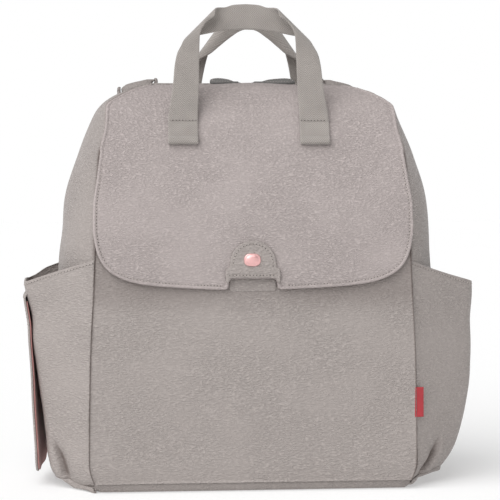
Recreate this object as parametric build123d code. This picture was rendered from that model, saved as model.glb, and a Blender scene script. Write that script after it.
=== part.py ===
"""Backpack-style diaper bag: a soft box of leather-like panels with a front flap, a top zip, two side
pockets, two webbing handles and two padded shoulder straps.

Frame: millimetres, origin at the centre of the base on the floor, +X to the wearer's left (the viewer's
right), +Y to the back, +Z up. Every node is written to parts/NODE.step.
"""
import math
import os

from build123d import *

# ---------------------------------------------------------------- driving dimensions
LEATHER = 2.2            # leather panel with its backing
SEAM_GAP = 0.2           # clearance where two sewn panels meet
BASE_SEAM_Z = 8.0        # seam between the base panel and the upright panels
FLAP_HINGE_Z = 290.5     # line where the flap folds
BACK_SEAM_Z = 327.0      # seam between the back panel and the top
POCKET_MOUTH_Z = 262.0   # mouth of the front pocket, under the flap

# Body stations, bottom to top: height, half-width at the seams, half-width at the bulging sides,
# front y, back y, and how far the front bows out at the middle.
BODY = [
    (0.0, 128.0, 146.0, -68.0, 68.0, 0.5),
    (8.0, 136.0, 157.0, -76.5, 76.0, 1.0),
    (24.0, 138.0, 161.0, -78.0, 78.0, 1.5),
    (100.0, 138.0, 165.0, -79.0, 78.0, 2.0),
    (190.0, 134.0, 164.0, -78.0, 77.0, 2.0),
    (245.0, 131.0, 159.0, -74.5, 75.0, 1.5),
    (290.0, 125.0, 147.0, -68.0, 71.0, 0.5),
    (312.0, 121.0, 138.0, -61.0, 65.0, 0.5),
    (327.0, 117.0, 129.0, -51.0, 55.0, 0.5),
    (338.0, 109.0, 115.0, -39.0, 43.0, 0.5),
    (344.0, 97.0, 101.0, -28.0, 31.0, 0.5),
    (347.0, 86.0, 89.0, -16.0, 16.0, 0.5),
]
TOP_Z = BODY[-1][0]
TOP_ROUNDING_Z = 290.0   # above this the panels lean in, so inner layers are also lowered
TOP_ROUNDING_SPAN = 50.0

# Side pockets: height and distance of the outer wall from the middle plane. The left one is slimmer,
# and flares at its rim, above the cover flap that hangs on it.
POCKET_RIGHT = [
    (3.0, 166.0),
    (15.0, 178.0),
    (37.0, 187.0),
    (64.0, 192.0),
    (100.0, 196.0),
    (150.0, 197.5),
    (170.0, 198.5),
    (192.0, 199.0),
]
POCKET_LEFT = [
    (3.0, 166.0),
    (15.0, 176.0),
    (37.0, 182.0),
    (64.0, 185.5),
    (100.0, 187.5),
    (150.0, 190.5),
    (170.0, 194.6),
    (192.0, 199.5),
]
POCKET_FLAT_HALF_Y = 38.0    # half-length of the pocket's flat outer wall
POCKET_CORNER = 14.0         # run of the rounded corner along y
POCKET_CORNER_X = 8.0        # and along x
POCKET_RIM = ((133.0, 190.0), (198.0, 168.0))   # the rim slopes down and out: (x, z) at each end

# Cover flap on the left pocket
WIPES_PIVOT = (-195.8, 163.6)    # x, z of the line it hangs from
WIPES_HALF_Y = 45.0
WIPES_BOTTOM_Z = 8.0
WIPES_CORNER = 22.0
WIPES_COVER = 1.6
WIPES_LINING = 1.0
WIPES_TILT = 3.4             # degrees it leans in, towards the foot of the pocket
WIPES_MAGNET_Z = 28.0

# Flap
FLAP_BOTTOM_Z = 172.0
FLAP_THICK = 1.8
FLAP_LINING = 0.7
FLAP_HALF_TOP = 125.0
FLAP_HALF_WIDE = 134.0
FLAP_WIDE_Z = 222.0
FLAP_CORNER_X = 82.0         # half-width of the nearly straight bottom edge
FLAP_SHOULDER = (122.0, 196.0)   # a point on the rounded corner
NOTCH_HALF = 20.5
NOTCH_TOP_Z = 182.0

# Inside the bag
POCKET_DEPTH = (14.0, 3.4)   # front pocket, to its rear wall: below its mouth, and at the top
WALL_THICK = 1.2
WALL_SPREAD = (3.0, -6.0)    # the rear wall is this much wider than the seams, below and at the top
PAD_THICK = 6.0              # back padding
PAD_GAP = 0.6
PAD_HEIGHTS = (14.0, 300.0)
BOARD_HALF = (118.0, 58.0)   # base stiffener
BOARD_THICK = 3.0
BOARD_CORNER = 18.0
LINING_THICK = 0.8
LINING_GAPS = (3.0, 16.6, 9.6, 6.2, 4.5)     # from the outer form: sides, front, back, bottom, top
LINING_TOP_Z = 338.0
SLEEVE = (108.0, 60.0, 66.6, 28.0, 150.0)    # pocket on the lining: half-width, y range, z range

# Closure
SHAFT_R = 1.5
SHAFT_HOLE_R = 1.8
MAGNET_Z = 189.0             # the ring sits behind the flap, just below the stud's shaft
MAGNET_HOLE_R = 2.6
MAGNET_PIN_R = 1.8
PATCH_HALF = 18.5
PATCH_BAR_HALF = 22.5
PATCH_BAR_TOP_Z = 190.5
PATCH_TOP_Z = 210.0
PATCH_THICK = 1.8
STUD_Z = 198.0
STUD_HALF = (7.2, 5.8)
STUD_RISE = 2.8
CATCH_HALF = 19.5
CATCH_BOTTOM_Z = 171.0
CATCH_TOP_Z = 209.0
CATCH_THICK = 1.5
MAGNET_R = 7.0
MAGNET_THICK = 0.8

# Webbing handles
WEB_WIDTH = 25.0
WEB_THICK = 2.0
HANDLE_X = 57.2              # middle of each leg at its foot
HANDLE_FOLD = (60.5, 374.5)  # where a leg's outer edge turns over: distance from the middle, height
HANDLE_FOLD_WIDTH = 19.0     # the leg has turned part edge-on there, so it looks narrower
HANDLE_TOP_Z = 412.0
FOLD_R = 5.0                 # radius of the diagonal fold at each corner
HANDLE_LEAN = 9.0            # degrees the loop leans towards the middle of the bag
HANDLE_SEWN = (297.0, 316.4)  # heights between which the ends are sewn down
HANDLE_PIVOT = (61.6, 319.0)  # front loop's distance from the middle plane, height
BACK_HANDLE_SHIFT = 3.2      # the back loop stands this much further out

# Zip
ZIP_HALF_LENGTH = 83.8
ZIP_SLOT_HALF = 10.5
TAPE = (344.6, 345.6)
TOOTH_PITCH = 3.2
TOOTH = (1.7, 2.4, 2.2)
TOOTH_GAP_HALF = 0.5
SLIDER_X = 7.5
SLIDER_HALF_LENGTH = 6.0
SLIDER_HALF_WIDTH = 4.6
SLIDER_CORNER = 2.0
LINK_WIRE_R = 0.6
LINK_HALF = 3.2
LINK_REACH = 9.0
PULL_TAB = (27.0, 7.0, 1.3)  # length, half-width, half-thickness
PULL_TAB_CORNER = 4.0

# Shoulder straps
STRAP_X = 97.0
STRAP_THICK = 9.0
STRAP_COVER = 1.4
STRAP_PATH = [(62.0, 327.5), (65.0, 348.0), (80.0, 349.5), (91.5, 328.0), (91.5, 134.0)]
STRAP_RADII = [7.0, 9.0, 20.0]
LOCK_X = 104.0
LOCK_BAR = (91.5, 108.0)
WEB_END = (84.5, 48.0)
LOCK_HALF = 17.0             # half-width of the buckle at the strap's end
LOCK_OPENING_HALF = 13.4
LOCK_BAR_R = 1.8
WEB_RING = (2.15, 3.7)       # the webbing's loop round the buckle's bar: inner and outer radius
YOKE_THICK = 1.6


# ---------------------------------------------------------------- helpers
def block(x0, x1, y0, y1, z0, z1):
    """Axis-aligned box between two corners."""
    return Pos((x0 + x1) / 2, (y0 + y1) / 2, (z0 + z1) / 2) * Box(x1 - x0, y1 - y0, z1 - z0)


def mirror_x(shape):
    return mirror(shape, about=Plane.YZ)


def between(stations, z, column):
    """Straight-line value of one column of a station list at height z."""
    for low, high in zip(stations, stations[1:]):
        if low[0] <= z <= high[0]:
            share = (z - low[0]) / (high[0] - low[0])
            return low[column] + share * (high[column] - low[column])
    raise ValueError(f"height {z} is outside the stations")


def heights(z0, z1, stations=BODY):
    """z0, the stations' own heights between, and z1."""
    return [z0, *[s[0] for s in stations if z0 < s[0] < z1], z1]


def extruded_xz(points, y0=-150.0, y1=150.0):
    """Prism along y over a closed polygon given as (x, z) points."""
    outline = Polyline(*[(x, 0, z) for x, z in points], close=True)
    face = Pos(0, y0, 0) * make_face(outline)
    return extrude(face, amount=y1 - y0, dir=(0, 1, 0))


def extruded_yz(points, x0, x1):
    """Prism along x over a closed polygon given as (y, z) points."""
    outline = Polyline(*[(0, y, z) for y, z in points], close=True)
    face = Pos(x0, 0, 0) * make_face(outline)
    return extrude(face, amount=x1 - x0, dir=(1, 0, 0))


def y_cylinder(x, y0, y1, z, radius):
    """Round bar along y."""
    return Pos(x, (y0 + y1) / 2, z) * Rot(90, 0, 0) * Cylinder(radius, y1 - y0)


def x_cylinder(x0, x1, y, z, radius):
    """Round bar along x."""
    return Pos((x0 + x1) / 2, y, z) * Rot(0, 90, 0) * Cylinder(radius, x1 - x0)


# ---------------------------------------------------------------- body
def body_solid(side=0.0, front=0.0, back=0.0, bottom=0.0, top=0.0):
    """The bag's closed outer form, moved in by the given amounts on each side."""
    wires = []
    for z, seam, bulge, y_front, y_back, bow in BODY:
        lean = min(1.0, max(0.0, (z - TOP_ROUNDING_Z) / TOP_ROUNDING_SPAN))
        level = z - top * lean + bottom * max(0.0, 1 - z / BASE_SEAM_Z)
        half, wide = seam - side, bulge - side
        f, b = y_front + front, y_back - back
        middle = (f + b) / 2
        wires.append(Wire([
            ThreePointArc((-half, f, level), (0, f - bow, level), (half, f, level)),
            ThreePointArc((half, f, level), (wide, middle, level), (half, b, level)),
            Line((half, b, level), (-half, b, level)),
            ThreePointArc((-half, b, level), (-wide, middle, level), (-half, f, level)),
        ]))
    return Solid.make_loft(wires, ruled=True)


def front_layer(z0, z1, inner, outer, half=None):
    """A layer that follows the front of the body: inner and outer say how far out it lies, as numbers
    or functions of height, and half gives its half-width at a height."""
    as_function = lambda value: value if callable(value) else (lambda z: value)
    inner, outer = as_function(inner), as_function(outer)
    half = half or (lambda z: between(BODY, z, 1))
    wires = []
    for z in heights(z0, z1):
        y, bow, w = between(BODY, z, 3), between(BODY, z, 5), half(z)
        near, far = y - outer(z), y - inner(z)
        wires.append(Wire([
            ThreePointArc((-w, near, z), (0, near - bow, z), (w, near, z)),
            Line((w, near, z), (w, far, z)),
            ThreePointArc((w, far, z), (0, far - bow, z), (-w, far, z)),
            Line((-w, far, z), (-w, near, z)),
        ]))
    return Solid.make_loft(wires, ruled=True)


def back_layer(z0, z1, inner, outer, half):
    """A flat-sectioned layer that follows the back of the body."""
    wires = []
    for z in heights(z0, z1):
        y, w = between(BODY, z, 4), half(z)
        corners = [(-w, y + inner, z), (w, y + inner, z), (w, y + outer, z), (-w, y + outer, z)]
        wires.append(Wire.make_polygon(corners, close=True))
    return Solid.make_loft(wires, ruled=True)


def seam_prism():
    """Everything between the two side seams."""
    right = [(seam, z) for z, seam, *_ in BODY]
    right = [(right[0][0], -5.0), *right[1:], (right[-1][0], TOP_Z + 5)]
    return extruded_xz(right + [(-x, z) for x, z in reversed(right)])


def body_panels():
    """The sewn outer panels, cut from one shell along the seams."""
    wall = LEATHER
    shell = body_solid() - body_solid(wall, wall, wall, wall, wall)
    slot = block(-ZIP_HALF_LENGTH - SEAM_GAP, ZIP_HALF_LENGTH + SEAM_GAP,
                 -ZIP_SLOT_HALF, ZIP_SLOT_HALF, TOP_Z - 10, TOP_Z + 10)
    shell = shell - slot
    prism = seam_prism()
    between_seams = shell & prism
    sides = shell - prism
    upright = BASE_SEAM_Z + SEAM_GAP
    front_half = lambda z0, z1: block(-300, 300, -200, -SEAM_GAP / 2, z0, z1)
    back_half = lambda z0, z1: block(-300, 300, SEAM_GAP / 2, 200, z0, z1)
    return {
        "front_pocket_panel": between_seams & front_half(upright, POCKET_MOUTH_Z),
        "top_front_panel": between_seams & front_half(FLAP_HINGE_Z + 2.2, 400),
        "back_panel": between_seams & back_half(upright, BACK_SEAM_Z - SEAM_GAP),
        "top_back_panel": between_seams & back_half(BACK_SEAM_Z, 400),
        "left_gusset": sides & block(-300, 0, -200, 200, upright, 400),
        "right_gusset": sides & block(0, 300, -200, 200, upright, 400),
        "base_panel": shell & block(-300, 300, -200, 200, -5, BASE_SEAM_Z),
    }


def body_insides():
    """Front pocket's rear wall, back padding, stiffener, lining and the sleeve pocket on the lining."""
    wall_top = FLAP_HINGE_Z - 1.5

    def eased(z, low, high):
        """low up to the pocket's mouth, then a straight run to high at the top of the rear wall."""
        share = max(0.0, (z - POCKET_MOUTH_Z) / (wall_top - POCKET_MOUTH_Z))
        return low + (high - low) * share

    near = lambda z: -eased(z, *POCKET_DEPTH)
    far = lambda z: near(z) - WALL_THICK
    seam_half = lambda z: between(BODY, z, 1)
    wall_half = lambda z: seam_half(z) + eased(z, *WALL_SPREAD)
    lower = front_layer(BASE_SEAM_Z + 1, POCKET_MOUTH_Z, far, near, wall_half)
    upper = front_layer(POCKET_MOUTH_Z, wall_top, far, near, wall_half)
    pad_out = -LEATHER - PAD_GAP
    pad = back_layer(*PAD_HEIGHTS, pad_out - PAD_THICK, pad_out, lambda z: seam_half(z) - 5)
    board_z = LEATHER + SEAM_GAP
    x, y = BOARD_HALF
    board = block(-x, x, -y, y, board_z, board_z + BOARD_THICK)
    board = fillet(board.edges().filter_by(Axis.Z), BOARD_CORNER)
    lining = body_solid(*LINING_GAPS) - body_solid(*[gap + LINING_THICK for gap in LINING_GAPS])
    lining = lining & block(-300, 300, -200, 200, 0, LINING_TOP_Z)
    half, y0, y1, z0, z1 = SLEEVE
    t = WALL_THICK
    sleeve = block(-half, half, y0, y1, z0, z1) - block(t - half, half - t, y0 + t, 70, z0 + t, z1 + 10)
    return {
        "front_wall": lower + upper,
        "back_foam_pad": pad,
        "base_board": board,
        "lining": lining,
        "inner_sleeve_pocket": sleeve,
    }


# ---------------------------------------------------------------- side pockets
def pocket_wire(stations, z, inset):
    """Plan outline of a pocket on the right at height z, closed inside the bag's body."""
    seam, f, b = between(BODY, z, 1), between(BODY, z, 3), between(BODY, z, 4)
    wall = between(stations, z, 1) - inset
    flat = POCKET_FLAT_HALF_Y
    turn = flat + POCKET_CORNER - inset
    shoulder = wall - POCKET_CORNER_X
    near = (shoulder + POCKET_CORNER_X * 0.72, flat + (turn - flat) * 0.62)
    f, b = f + 1.15 * inset, b - 1.15 * inset
    return Wire([
        Line((seam, f, z), (shoulder, -turn, z)),
        ThreePointArc((shoulder, -turn, z), (near[0], -near[1], z), (wall, -flat, z)),
        Line((wall, -flat, z), (wall, flat, z)),
        ThreePointArc((wall, flat, z), (near[0], near[1], z), (shoulder, turn, z)),
        Line((shoulder, turn, z), (seam, b, z)),
        Line((seam, b, z), (seam, f, z)),
    ])


def pocket_solid(stations):
    """Open-topped pocket with a floor, cut along its sloping rim and fitted round the bag's body."""
    bottom, top = stations[0][0], stations[-1][0]

    def filled(low, inset):
        wires = [pocket_wire(stations, z, inset) for z in heights(low, top, stations)]
        return Solid.make_loft(wires, ruled=True)

    outer, inner = filled(bottom, 0), filled(bottom + LEATHER, LEATHER)
    (x0, z0), (x1, z1) = POCKET_RIM
    slope = (z1 - z0) / (x1 - x0)
    inboard, outboard = (60, z0 + slope * (60 - x0)), (260, z0 + slope * (260 - x0))
    above_rim = extruded_xz([inboard, outboard, (260, 300), (60, 300)])
    grown = body_solid(-SEAM_GAP, -SEAM_GAP, -SEAM_GAP)
    walls = outer - inner - above_rim - grown
    return max(walls.solids(), key=lambda piece: piece.volume)


def side_pockets():
    return {"right_pocket": pocket_solid(POCKET_RIGHT), "left_pocket": mirror_x(pocket_solid(POCKET_LEFT))}


def wipes_flap():
    """Cover flap on the left pocket: outer leather, pink lining, the sewn strip it hangs from, magnets."""
    x, z = WIPES_PIVOT
    outer, middle = x - WIPES_COVER / 2, x + WIPES_COVER / 2
    pivot = Pos(x, 0, z)
    hang = lambda shape: pivot * Rot(0, -WIPES_TILT, 0) * pivot.inverse() * shape

    def leaf(x0, x1, trim):
        half = WIPES_HALF_Y - trim
        plate = block(x0, x1, -half, half, WIPES_BOTTOM_Z + trim, z - 0.4)
        low = plate.edges().filter_by(Axis.X).group_by(Axis.Z)[0]
        return fillet(low, WIPES_CORNER)

    strip = block(x - 0.8, x + 0.8, -WIPES_HALF_Y, WIPES_HALF_Y, z + 1.1, z + 6.4)
    disc = lambda at: Pos(at, 0, WIPES_MAGNET_Z) * Rot(0, 90, 0) * Cylinder(MAGNET_R - 1, 1.2)
    return {
        "wipes_flap": hang(leaf(outer, middle, 0)),
        "wipes_flap_lining": hang(leaf(middle, middle + WIPES_LINING, 1.5)),
        "wipes_flap_strip": strip,
        "wipes_flap_magnet": hang(disc(middle + WIPES_LINING + 0.6)),
        "pocket_magnet": disc(-174.0),
    }


# ---------------------------------------------------------------- flap and closure
def flap_standoff(z):
    """How far the flap's inner face lies in front of the body's front surface."""
    if z >= POCKET_MOUTH_Z:
        share = (z - POCKET_MOUTH_Z) / (FLAP_HINGE_Z - POCKET_MOUTH_Z)
        return 1.4 + share * (-1.8 - 1.4)
    if z <= 215:
        return 3.8
    return 3.8 + (z - 215) / (POCKET_MOUTH_Z - 215) * (1.4 - 3.8)


def flap_levels(z0, z1):
    return sorted({z0, z1, *[z for z in (190.0, 215.0, 245.0, POCKET_MOUTH_Z) if z0 < z < z1]})


def flap_layer(z0, z1, from_inner, to_inner):
    """A layer parallel to the flap, from_inner to to_inner millimetres in front of its inner face."""
    wires = []
    for z in flap_levels(z0, z1):
        y, bow = between(BODY, z, 3) - flap_standoff(z), between(BODY, z, 5)
        far, near, w = y - from_inner, y - to_inner, FLAP_HALF_WIDE + 3
        wires.append(Wire([
            ThreePointArc((-w, near, z), (0, near - bow, z), (w, near, z)),
            Line((w, near, z), (w, far, z)),
            ThreePointArc((w, far, z), (0, far - bow, z), (-w, far, z)),
            Line((-w, far, z), (-w, near, z)),
        ]))
    return Solid.make_loft(wires, ruled=True)


def flap_outline(trim=0.0):
    """Front view of the flap: straight fold line, sides that widen, big rounded lower corners, a notch."""
    top, low = FLAP_HINGE_Z - 1.0, FLAP_BOTTOM_Z + trim
    t, w = FLAP_HALF_TOP - trim, FLAP_HALF_WIDE - trim
    shoulder = (FLAP_SHOULDER[0] - trim * 0.7, FLAP_SHOULDER[1] + trim * 0.7)
    n = NOTCH_HALF + trim
    notch = NOTCH_TOP_Z + trim
    edges = [Line((n, 0, notch), (-n, 0, notch)), Line((-t, 0, top), (t, 0, top))]
    for s in (-1, 1):
        widest, turn = (s * w, 0, FLAP_WIDE_Z), (s * shoulder[0], 0, shoulder[1])
        corner, foot = (s * FLAP_CORNER_X, 0, low + 6), (s * n, 0, low)
        edges += [
            Line((s * t, 0, top), widest),
            ThreePointArc(widest, turn, corner),
            Line(corner, foot),
            Line(foot, (s * n, 0, notch)),
        ]
    outline = Wire(edges)
    return extrude(Pos(0, -150, 0) * Face(outline), amount=150, dir=(0, 1, 0))


def patch_outline():
    """Dome-topped patch with a wider bar along its foot."""
    r = PATCH_HALF
    dome_z = PATCH_TOP_Z - r
    dome = Pos(0, -100, dome_z) * Rot(90, 0, 0) * Cylinder(r, 100)
    stem = block(-r, r, -150, -50, PATCH_BAR_TOP_Z - 1, dome_z)
    bar = block(-PATCH_BAR_HALF, PATCH_BAR_HALF, -150, -50, NOTCH_TOP_Z, PATCH_BAR_TOP_Z)
    return dome + stem + bar if dome_z > PATCH_BAR_TOP_Z - 1 else dome + bar


def closure():
    """Flap, its lining and everything that closes it."""
    top = FLAP_HINGE_Z - 1.0
    outer = FLAP_LINING + FLAP_THICK
    body_y = lambda z: between(BODY, z, 3) - between(BODY, z, 5)
    flap_y = lambda z: body_y(z) - flap_standoff(z)
    stud_face = flap_y(STUD_Z) - outer - PATCH_THICK
    hole = y_cylinder(0, -150, -50, STUD_Z, SHAFT_HOLE_R)
    flap = (flap_layer(FLAP_BOTTOM_Z, top, FLAP_LINING, outer) & flap_outline()) - hole
    lining = (flap_layer(FLAP_BOTTOM_Z, top, 0, FLAP_LINING) & flap_outline(1.2)) - hole
    patch = flap_layer(NOTCH_TOP_Z, PATCH_TOP_Z, outer, outer + PATCH_THICK) & patch_outline()
    patch = patch - hole
    head = extrude(Ellipse(*STUD_HALF), amount=STUD_RISE, taper=22)
    head = Pos(0, stud_face - 0.65, STUD_Z) * Rot(90, 0, 0) * head
    stud = head + y_cylinder(0, stud_face - 1.0, flap_y(STUD_Z) + 0.2, STUD_Z, SHAFT_R)
    tab_face, ring_face = body_y(MAGNET_Z) - CATCH_THICK, flap_y(MAGNET_Z)
    ring = y_cylinder(0, ring_face + 0.5, ring_face + 1.2, MAGNET_Z, MAGNET_R)
    ring = ring - y_cylinder(0, -150, -50, MAGNET_Z, MAGNET_HOLE_R)
    disc = y_cylinder(0, tab_face - 0.15 - MAGNET_THICK, tab_face - 0.15, MAGNET_Z, MAGNET_R)
    disc = disc + y_cylinder(0, tab_face - 1.6, tab_face - 0.5, MAGNET_Z, MAGNET_PIN_R)
    tab = front_layer(CATCH_BOTTOM_Z, CATCH_TOP_Z, 0, CATCH_THICK)
    tab = tab & block(-CATCH_HALF, CATCH_HALF, -150, 0, CATCH_BOTTOM_Z, CATCH_TOP_Z)
    return {
        "flap": flap,
        "flap_lining": lining,
        "closure_patch": patch,
        "closure_stud": stud,
        "magnet_ring": ring,
        "magnet_disc": disc,
        "catch_tab": tab,
    }


# ---------------------------------------------------------------- handles
def handle_loop():
    """The front handle's free loop: two legs and a bar behind them, joined by soft diagonal folds."""
    y0, pivot_z = -HANDLE_PIVOT[0], HANDLE_PIVOT[1]
    half, t = WEB_WIDTH / 2, WEB_THICK / 2
    foot_in, foot_out = HANDLE_X - half, HANDLE_X + half
    fold_x, fold_z = HANDLE_FOLD
    top_x, top_z = fold_x - HANDLE_FOLD_WIDTH, fold_z + HANDLE_FOLD_WIDTH
    run = math.pi * FOLD_R / math.sqrt(2)
    leg = extruded_xz(
        [(-foot_out, pivot_z), (-foot_in, pivot_z), (-top_x, top_z), (-fold_x, fold_z)], y0 - t, y0 + t)
    leg = leg + x_cylinder(-foot_out, -foot_in, y0, pivot_z, t)
    bar_y = y0 + 2 * FOLD_R
    shoulder = (top_x - run, top_z + run)
    crown = (shoulder[0] - 7, HANDLE_TOP_Z)
    bar = extruded_xz([
        (-fold_x + run, fold_z + run), (-shoulder[0], shoulder[1]), (-crown[0], crown[1]),
        crown, shoulder, (fold_x - run, fold_z + run),
    ], bar_y - t, bar_y + t)
    length = HANDLE_FOLD_WIDTH * math.sqrt(2) + math.pi * FOLD_R - 4.0
    axis = Vector(1, 0, 1).normalized()
    base = Vector(-fold_x, y0 + FOLD_R, fold_z) + axis * 2.0
    # the fold's own plane: x points up and out, across the fold line
    plane = Plane(origin=base, x_dir=(-1, 0, 1), z_dir=axis)
    ring = plane * (Circle(FOLD_R + t) - Circle(FOLD_R - t))
    keep = plane * (Pos(FOLD_R, 0) * Rectangle(2 * FOLD_R, 4 * FOLD_R))
    fold = extrude(ring & keep, amount=length, dir=axis)
    loop = leg + fold + bar + mirror_x(leg + fold)
    pivot = Pos(0, y0, pivot_z)
    return pivot * Rot(-HANDLE_LEAN, 0, 0) * pivot.inverse() * loop


def handles():
    z0, z1 = HANDLE_SEWN
    half = WEB_WIDTH / 2
    front_sewn = front_layer(z0, z1, 0, 1.8)
    back_sewn = back_layer(z0, z1, 0, 1.8, lambda z: between(BODY, z, 1))
    ends = [block(x - half, x + half, -200, 200, 0, 400) for x in (-HANDLE_X, HANDLE_X)]
    front = handle_loop()
    return {
        "front_handle": front,
        "front_handle_ends": Compound([front_sewn & end for end in ends]),
        "back_handle": Pos(0, BACK_HANDLE_SHIFT, 0) * mirror(front, about=Plane.XZ),
        "back_handle_ends": Compound([back_sewn & end for end in ends]),
    }


# ---------------------------------------------------------------- zip
def zip_row(sign):
    """One row of teeth on its cord, as one comb; sign is -1 for the front row and 1 for the back."""
    length, depth, height = TOOTH
    count = int(2 * ZIP_HALF_LENGTH / TOOTH_PITCH) - 2
    shift = 0.0 if sign < 0 else TOOTH_PITCH / 2
    start = -(count - 1) * TOOTH_PITCH / 2 + shift - TOOTH_PITCH / 4
    inner = TOOTH_GAP_HALF
    cord_low = TAPE[1] + 0.05
    end = ZIP_HALF_LENGTH - 1
    row = block(-end, end, inner + depth - 0.8, inner + depth, cord_low, cord_low + 1.4)
    teeth = [
        block(x - length / 2, x + length / 2, inner, inner + depth - 0.4, cord_low, cord_low + height)
        for x in (start + i * TOOTH_PITCH for i in range(count))
    ]
    row = row + teeth
    return row if sign > 0 else mirror(row, about=Plane.XZ)


def slider_and_pull():
    """Right-hand slider, the metal link that swings on it and the leather tab on the link."""
    x0, x1 = SLIDER_X - SLIDER_HALF_LENGTH, SLIDER_X + SLIDER_HALF_LENGTH
    half = SLIDER_HALF_WIDTH
    roof = TAPE[1] + 0.05 + TOOTH[2] + 0.3
    top = block(x0, x1, -half, half, roof, roof + 1.3)
    bottom = block(x0, x1, -half, half, TAPE[0] - 1.6, TAPE[0] - 0.4)
    top, bottom = [fillet(p.edges().filter_by(Axis.Z), SLIDER_CORNER) for p in (top, bottom)]
    web = block(x0 + 2, x1 - 2, -0.25, 0.25, TAPE[0] - 1.0, roof + 0.6)
    bridge = block(SLIDER_X - 4, SLIDER_X + 4, -1.4, 1.4, roof + 1.0, roof + 4.4)
    slot = block(SLIDER_X - 2.4, SLIDER_X + 2.4, -2, 2, roof + 1.3, roof + 3.3)
    slider = top + bottom + web + (bridge - slot)
    bar_z = roof + 2.3
    link = x_link(SLIDER_X, bar_z, LINK_REACH)
    length, width, t = PULL_TAB
    far_bar = SLIDER_X + LINK_REACH
    tab = block(far_bar - 1, far_bar - 1 + length, -width, width, bar_z - t, bar_z + t)
    tab = fillet(tab.edges().filter_by(Axis.Z), PULL_TAB_CORNER)
    tab = tab - block(far_bar - 2.5, far_bar + 1.3, -3.9, 3.9, bar_z - 0.9, bar_z + 0.9)
    return slider, link, tab


def x_link(x, z, reach):
    """Rectangular ring of round wire: its near bar is the hinge pin, its far bar holds the tab."""
    r, half = LINK_WIRE_R, LINK_HALF
    bars = [y_cylinder(at, -half - r, half + r, z, r) for at in (x, x + reach)]
    arms = [block(x, x + reach, y - r, y + r, z - r, z + r) for y in (-half, half)]
    return bars[0] + bars[1] + arms


def zip_parts():
    low, high = TAPE
    tape = block(-ZIP_HALF_LENGTH, ZIP_HALF_LENGTH, TOOTH_GAP_HALF, ZIP_SLOT_HALF - SEAM_GAP, low, high)
    stop = lambda x: block(x - 0.8, x + 0.8, -3.0, 3.0, TAPE[1] + 1.5, TAPE[1] + 2.6)
    stop_x = ZIP_HALF_LENGTH - 0.2
    stops = Compound([stop(-stop_x + 1), stop(stop_x - 1)])
    slider, link, tab = slider_and_pull()
    return {
        "zip_tape_back": tape,
        "zip_tape_front": mirror(tape, about=Plane.XZ),
        "zip_teeth_back": zip_row(1),
        "zip_teeth_front": zip_row(-1),
        "zip_end_stops": stops,
        "right_slider": slider,
        "left_slider": mirror_x(slider),
        "right_pull_link": link,
        "left_pull_link": mirror_x(link),
        "right_pull_tab": tab,
        "left_pull_tab": mirror_x(tab),
    }


# ---------------------------------------------------------------- shoulder straps
def strap_solid(thick, trim):
    """Padded strap on the right: a band of the given thickness, trimmed all round by trim."""
    last = STRAP_PATH[-1]
    path = FilletPolyline(*[(y, z) for y, z in STRAP_PATH], radius=STRAP_RADII)
    band = trace(path, line_width=thick)
    band = Plane.YZ * band
    solid = extrude(band, amount=200, dir=(1, 0, 0))
    outline = [
        (STRAP_X - 22 + trim, 400), (STRAP_X - 22 + trim, 300), (STRAP_X - 24 + trim, 240),
        (STRAP_X - 18 + trim, 180), (LOCK_X - 16 + trim, last[1] + trim),
        (LOCK_X + 16 - trim, last[1] + trim), (STRAP_X + 33 - trim, 180), (STRAP_X + 34 - trim, 240),
        (STRAP_X + 24 - trim, 300), (STRAP_X + 22 - trim, 400),
    ]
    solid = solid & extruded_xz(outline, 0, 150)
    ends = block(0, 200, 0, 80, STRAP_PATH[0][1] + trim, 400) + block(0, 200, 80, 150, last[1] + trim, 400)
    return solid & ends


def straps():
    cover = strap_solid(STRAP_THICK, 0.0)
    core = strap_solid(STRAP_THICK - 2 * STRAP_COVER, STRAP_COVER)
    y, z = LOCK_BAR
    wide, open_half, half_web = LOCK_HALF, LOCK_OPENING_HALF, WEB_WIDTH / 2
    frame = block(LOCK_X - wide, LOCK_X + wide, y - 2, y + 2, z - 2, STRAP_PATH[-1][1])
    for z0, z1 in ((z - 5, z + 7), (z + 13, z + 20)):
        frame = frame - block(LOCK_X - open_half, LOCK_X + open_half, y - 5, y + 5, z0, z1)
    frame = frame + x_cylinder(LOCK_X - wide, LOCK_X + wide, y, z, LOCK_BAR_R)
    bore = x_cylinder(LOCK_X - 20, LOCK_X + 20, y, z, WEB_RING[0])
    ring = x_cylinder(LOCK_X - half_web, LOCK_X + half_web, y, z, WEB_RING[1]) - bore
    ye, ze = WEB_END
    hanging = [(y - 3.4, z - 1.2), (y - 1.8, z - 2.6), (ye + 0.8, ze), (ye - 0.8, ze)]
    web = extruded_yz(hanging, LOCK_X - half_web, LOCK_X + half_web)
    webbing = ring + (web - bore)
    tab = extruded_yz([(78.3, 14), (80.4, 14), (86.6, 45.5), (78.3, 45.5)], LOCK_X - 16, LOCK_X + 16)
    yoke = back_layer(300, BACK_SEAM_Z - 1, 0, YOKE_THICK, lambda level: between(BODY, level, 1))
    yoke = yoke & block(STRAP_X - 23.5, STRAP_X + 16, -200, 200, 0, 400)
    right = {
        "right_strap": cover - core,
        "right_strap_foam": core,
        "right_strap_buckle": frame,
        "right_strap_webbing": webbing,
        "right_strap_tab": tab,
        "right_strap_yoke": yoke,
    }
    left = {name.replace("right", "left"): mirror_x(shape) for name, shape in right.items()}
    return {**right, **left}


def label():
    """Small folded fabric tab caught in the right front seam."""
    return {"side_label": block(138.6, 146.0, -81.4, -80.4, 62.0, 88.0)}


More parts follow.
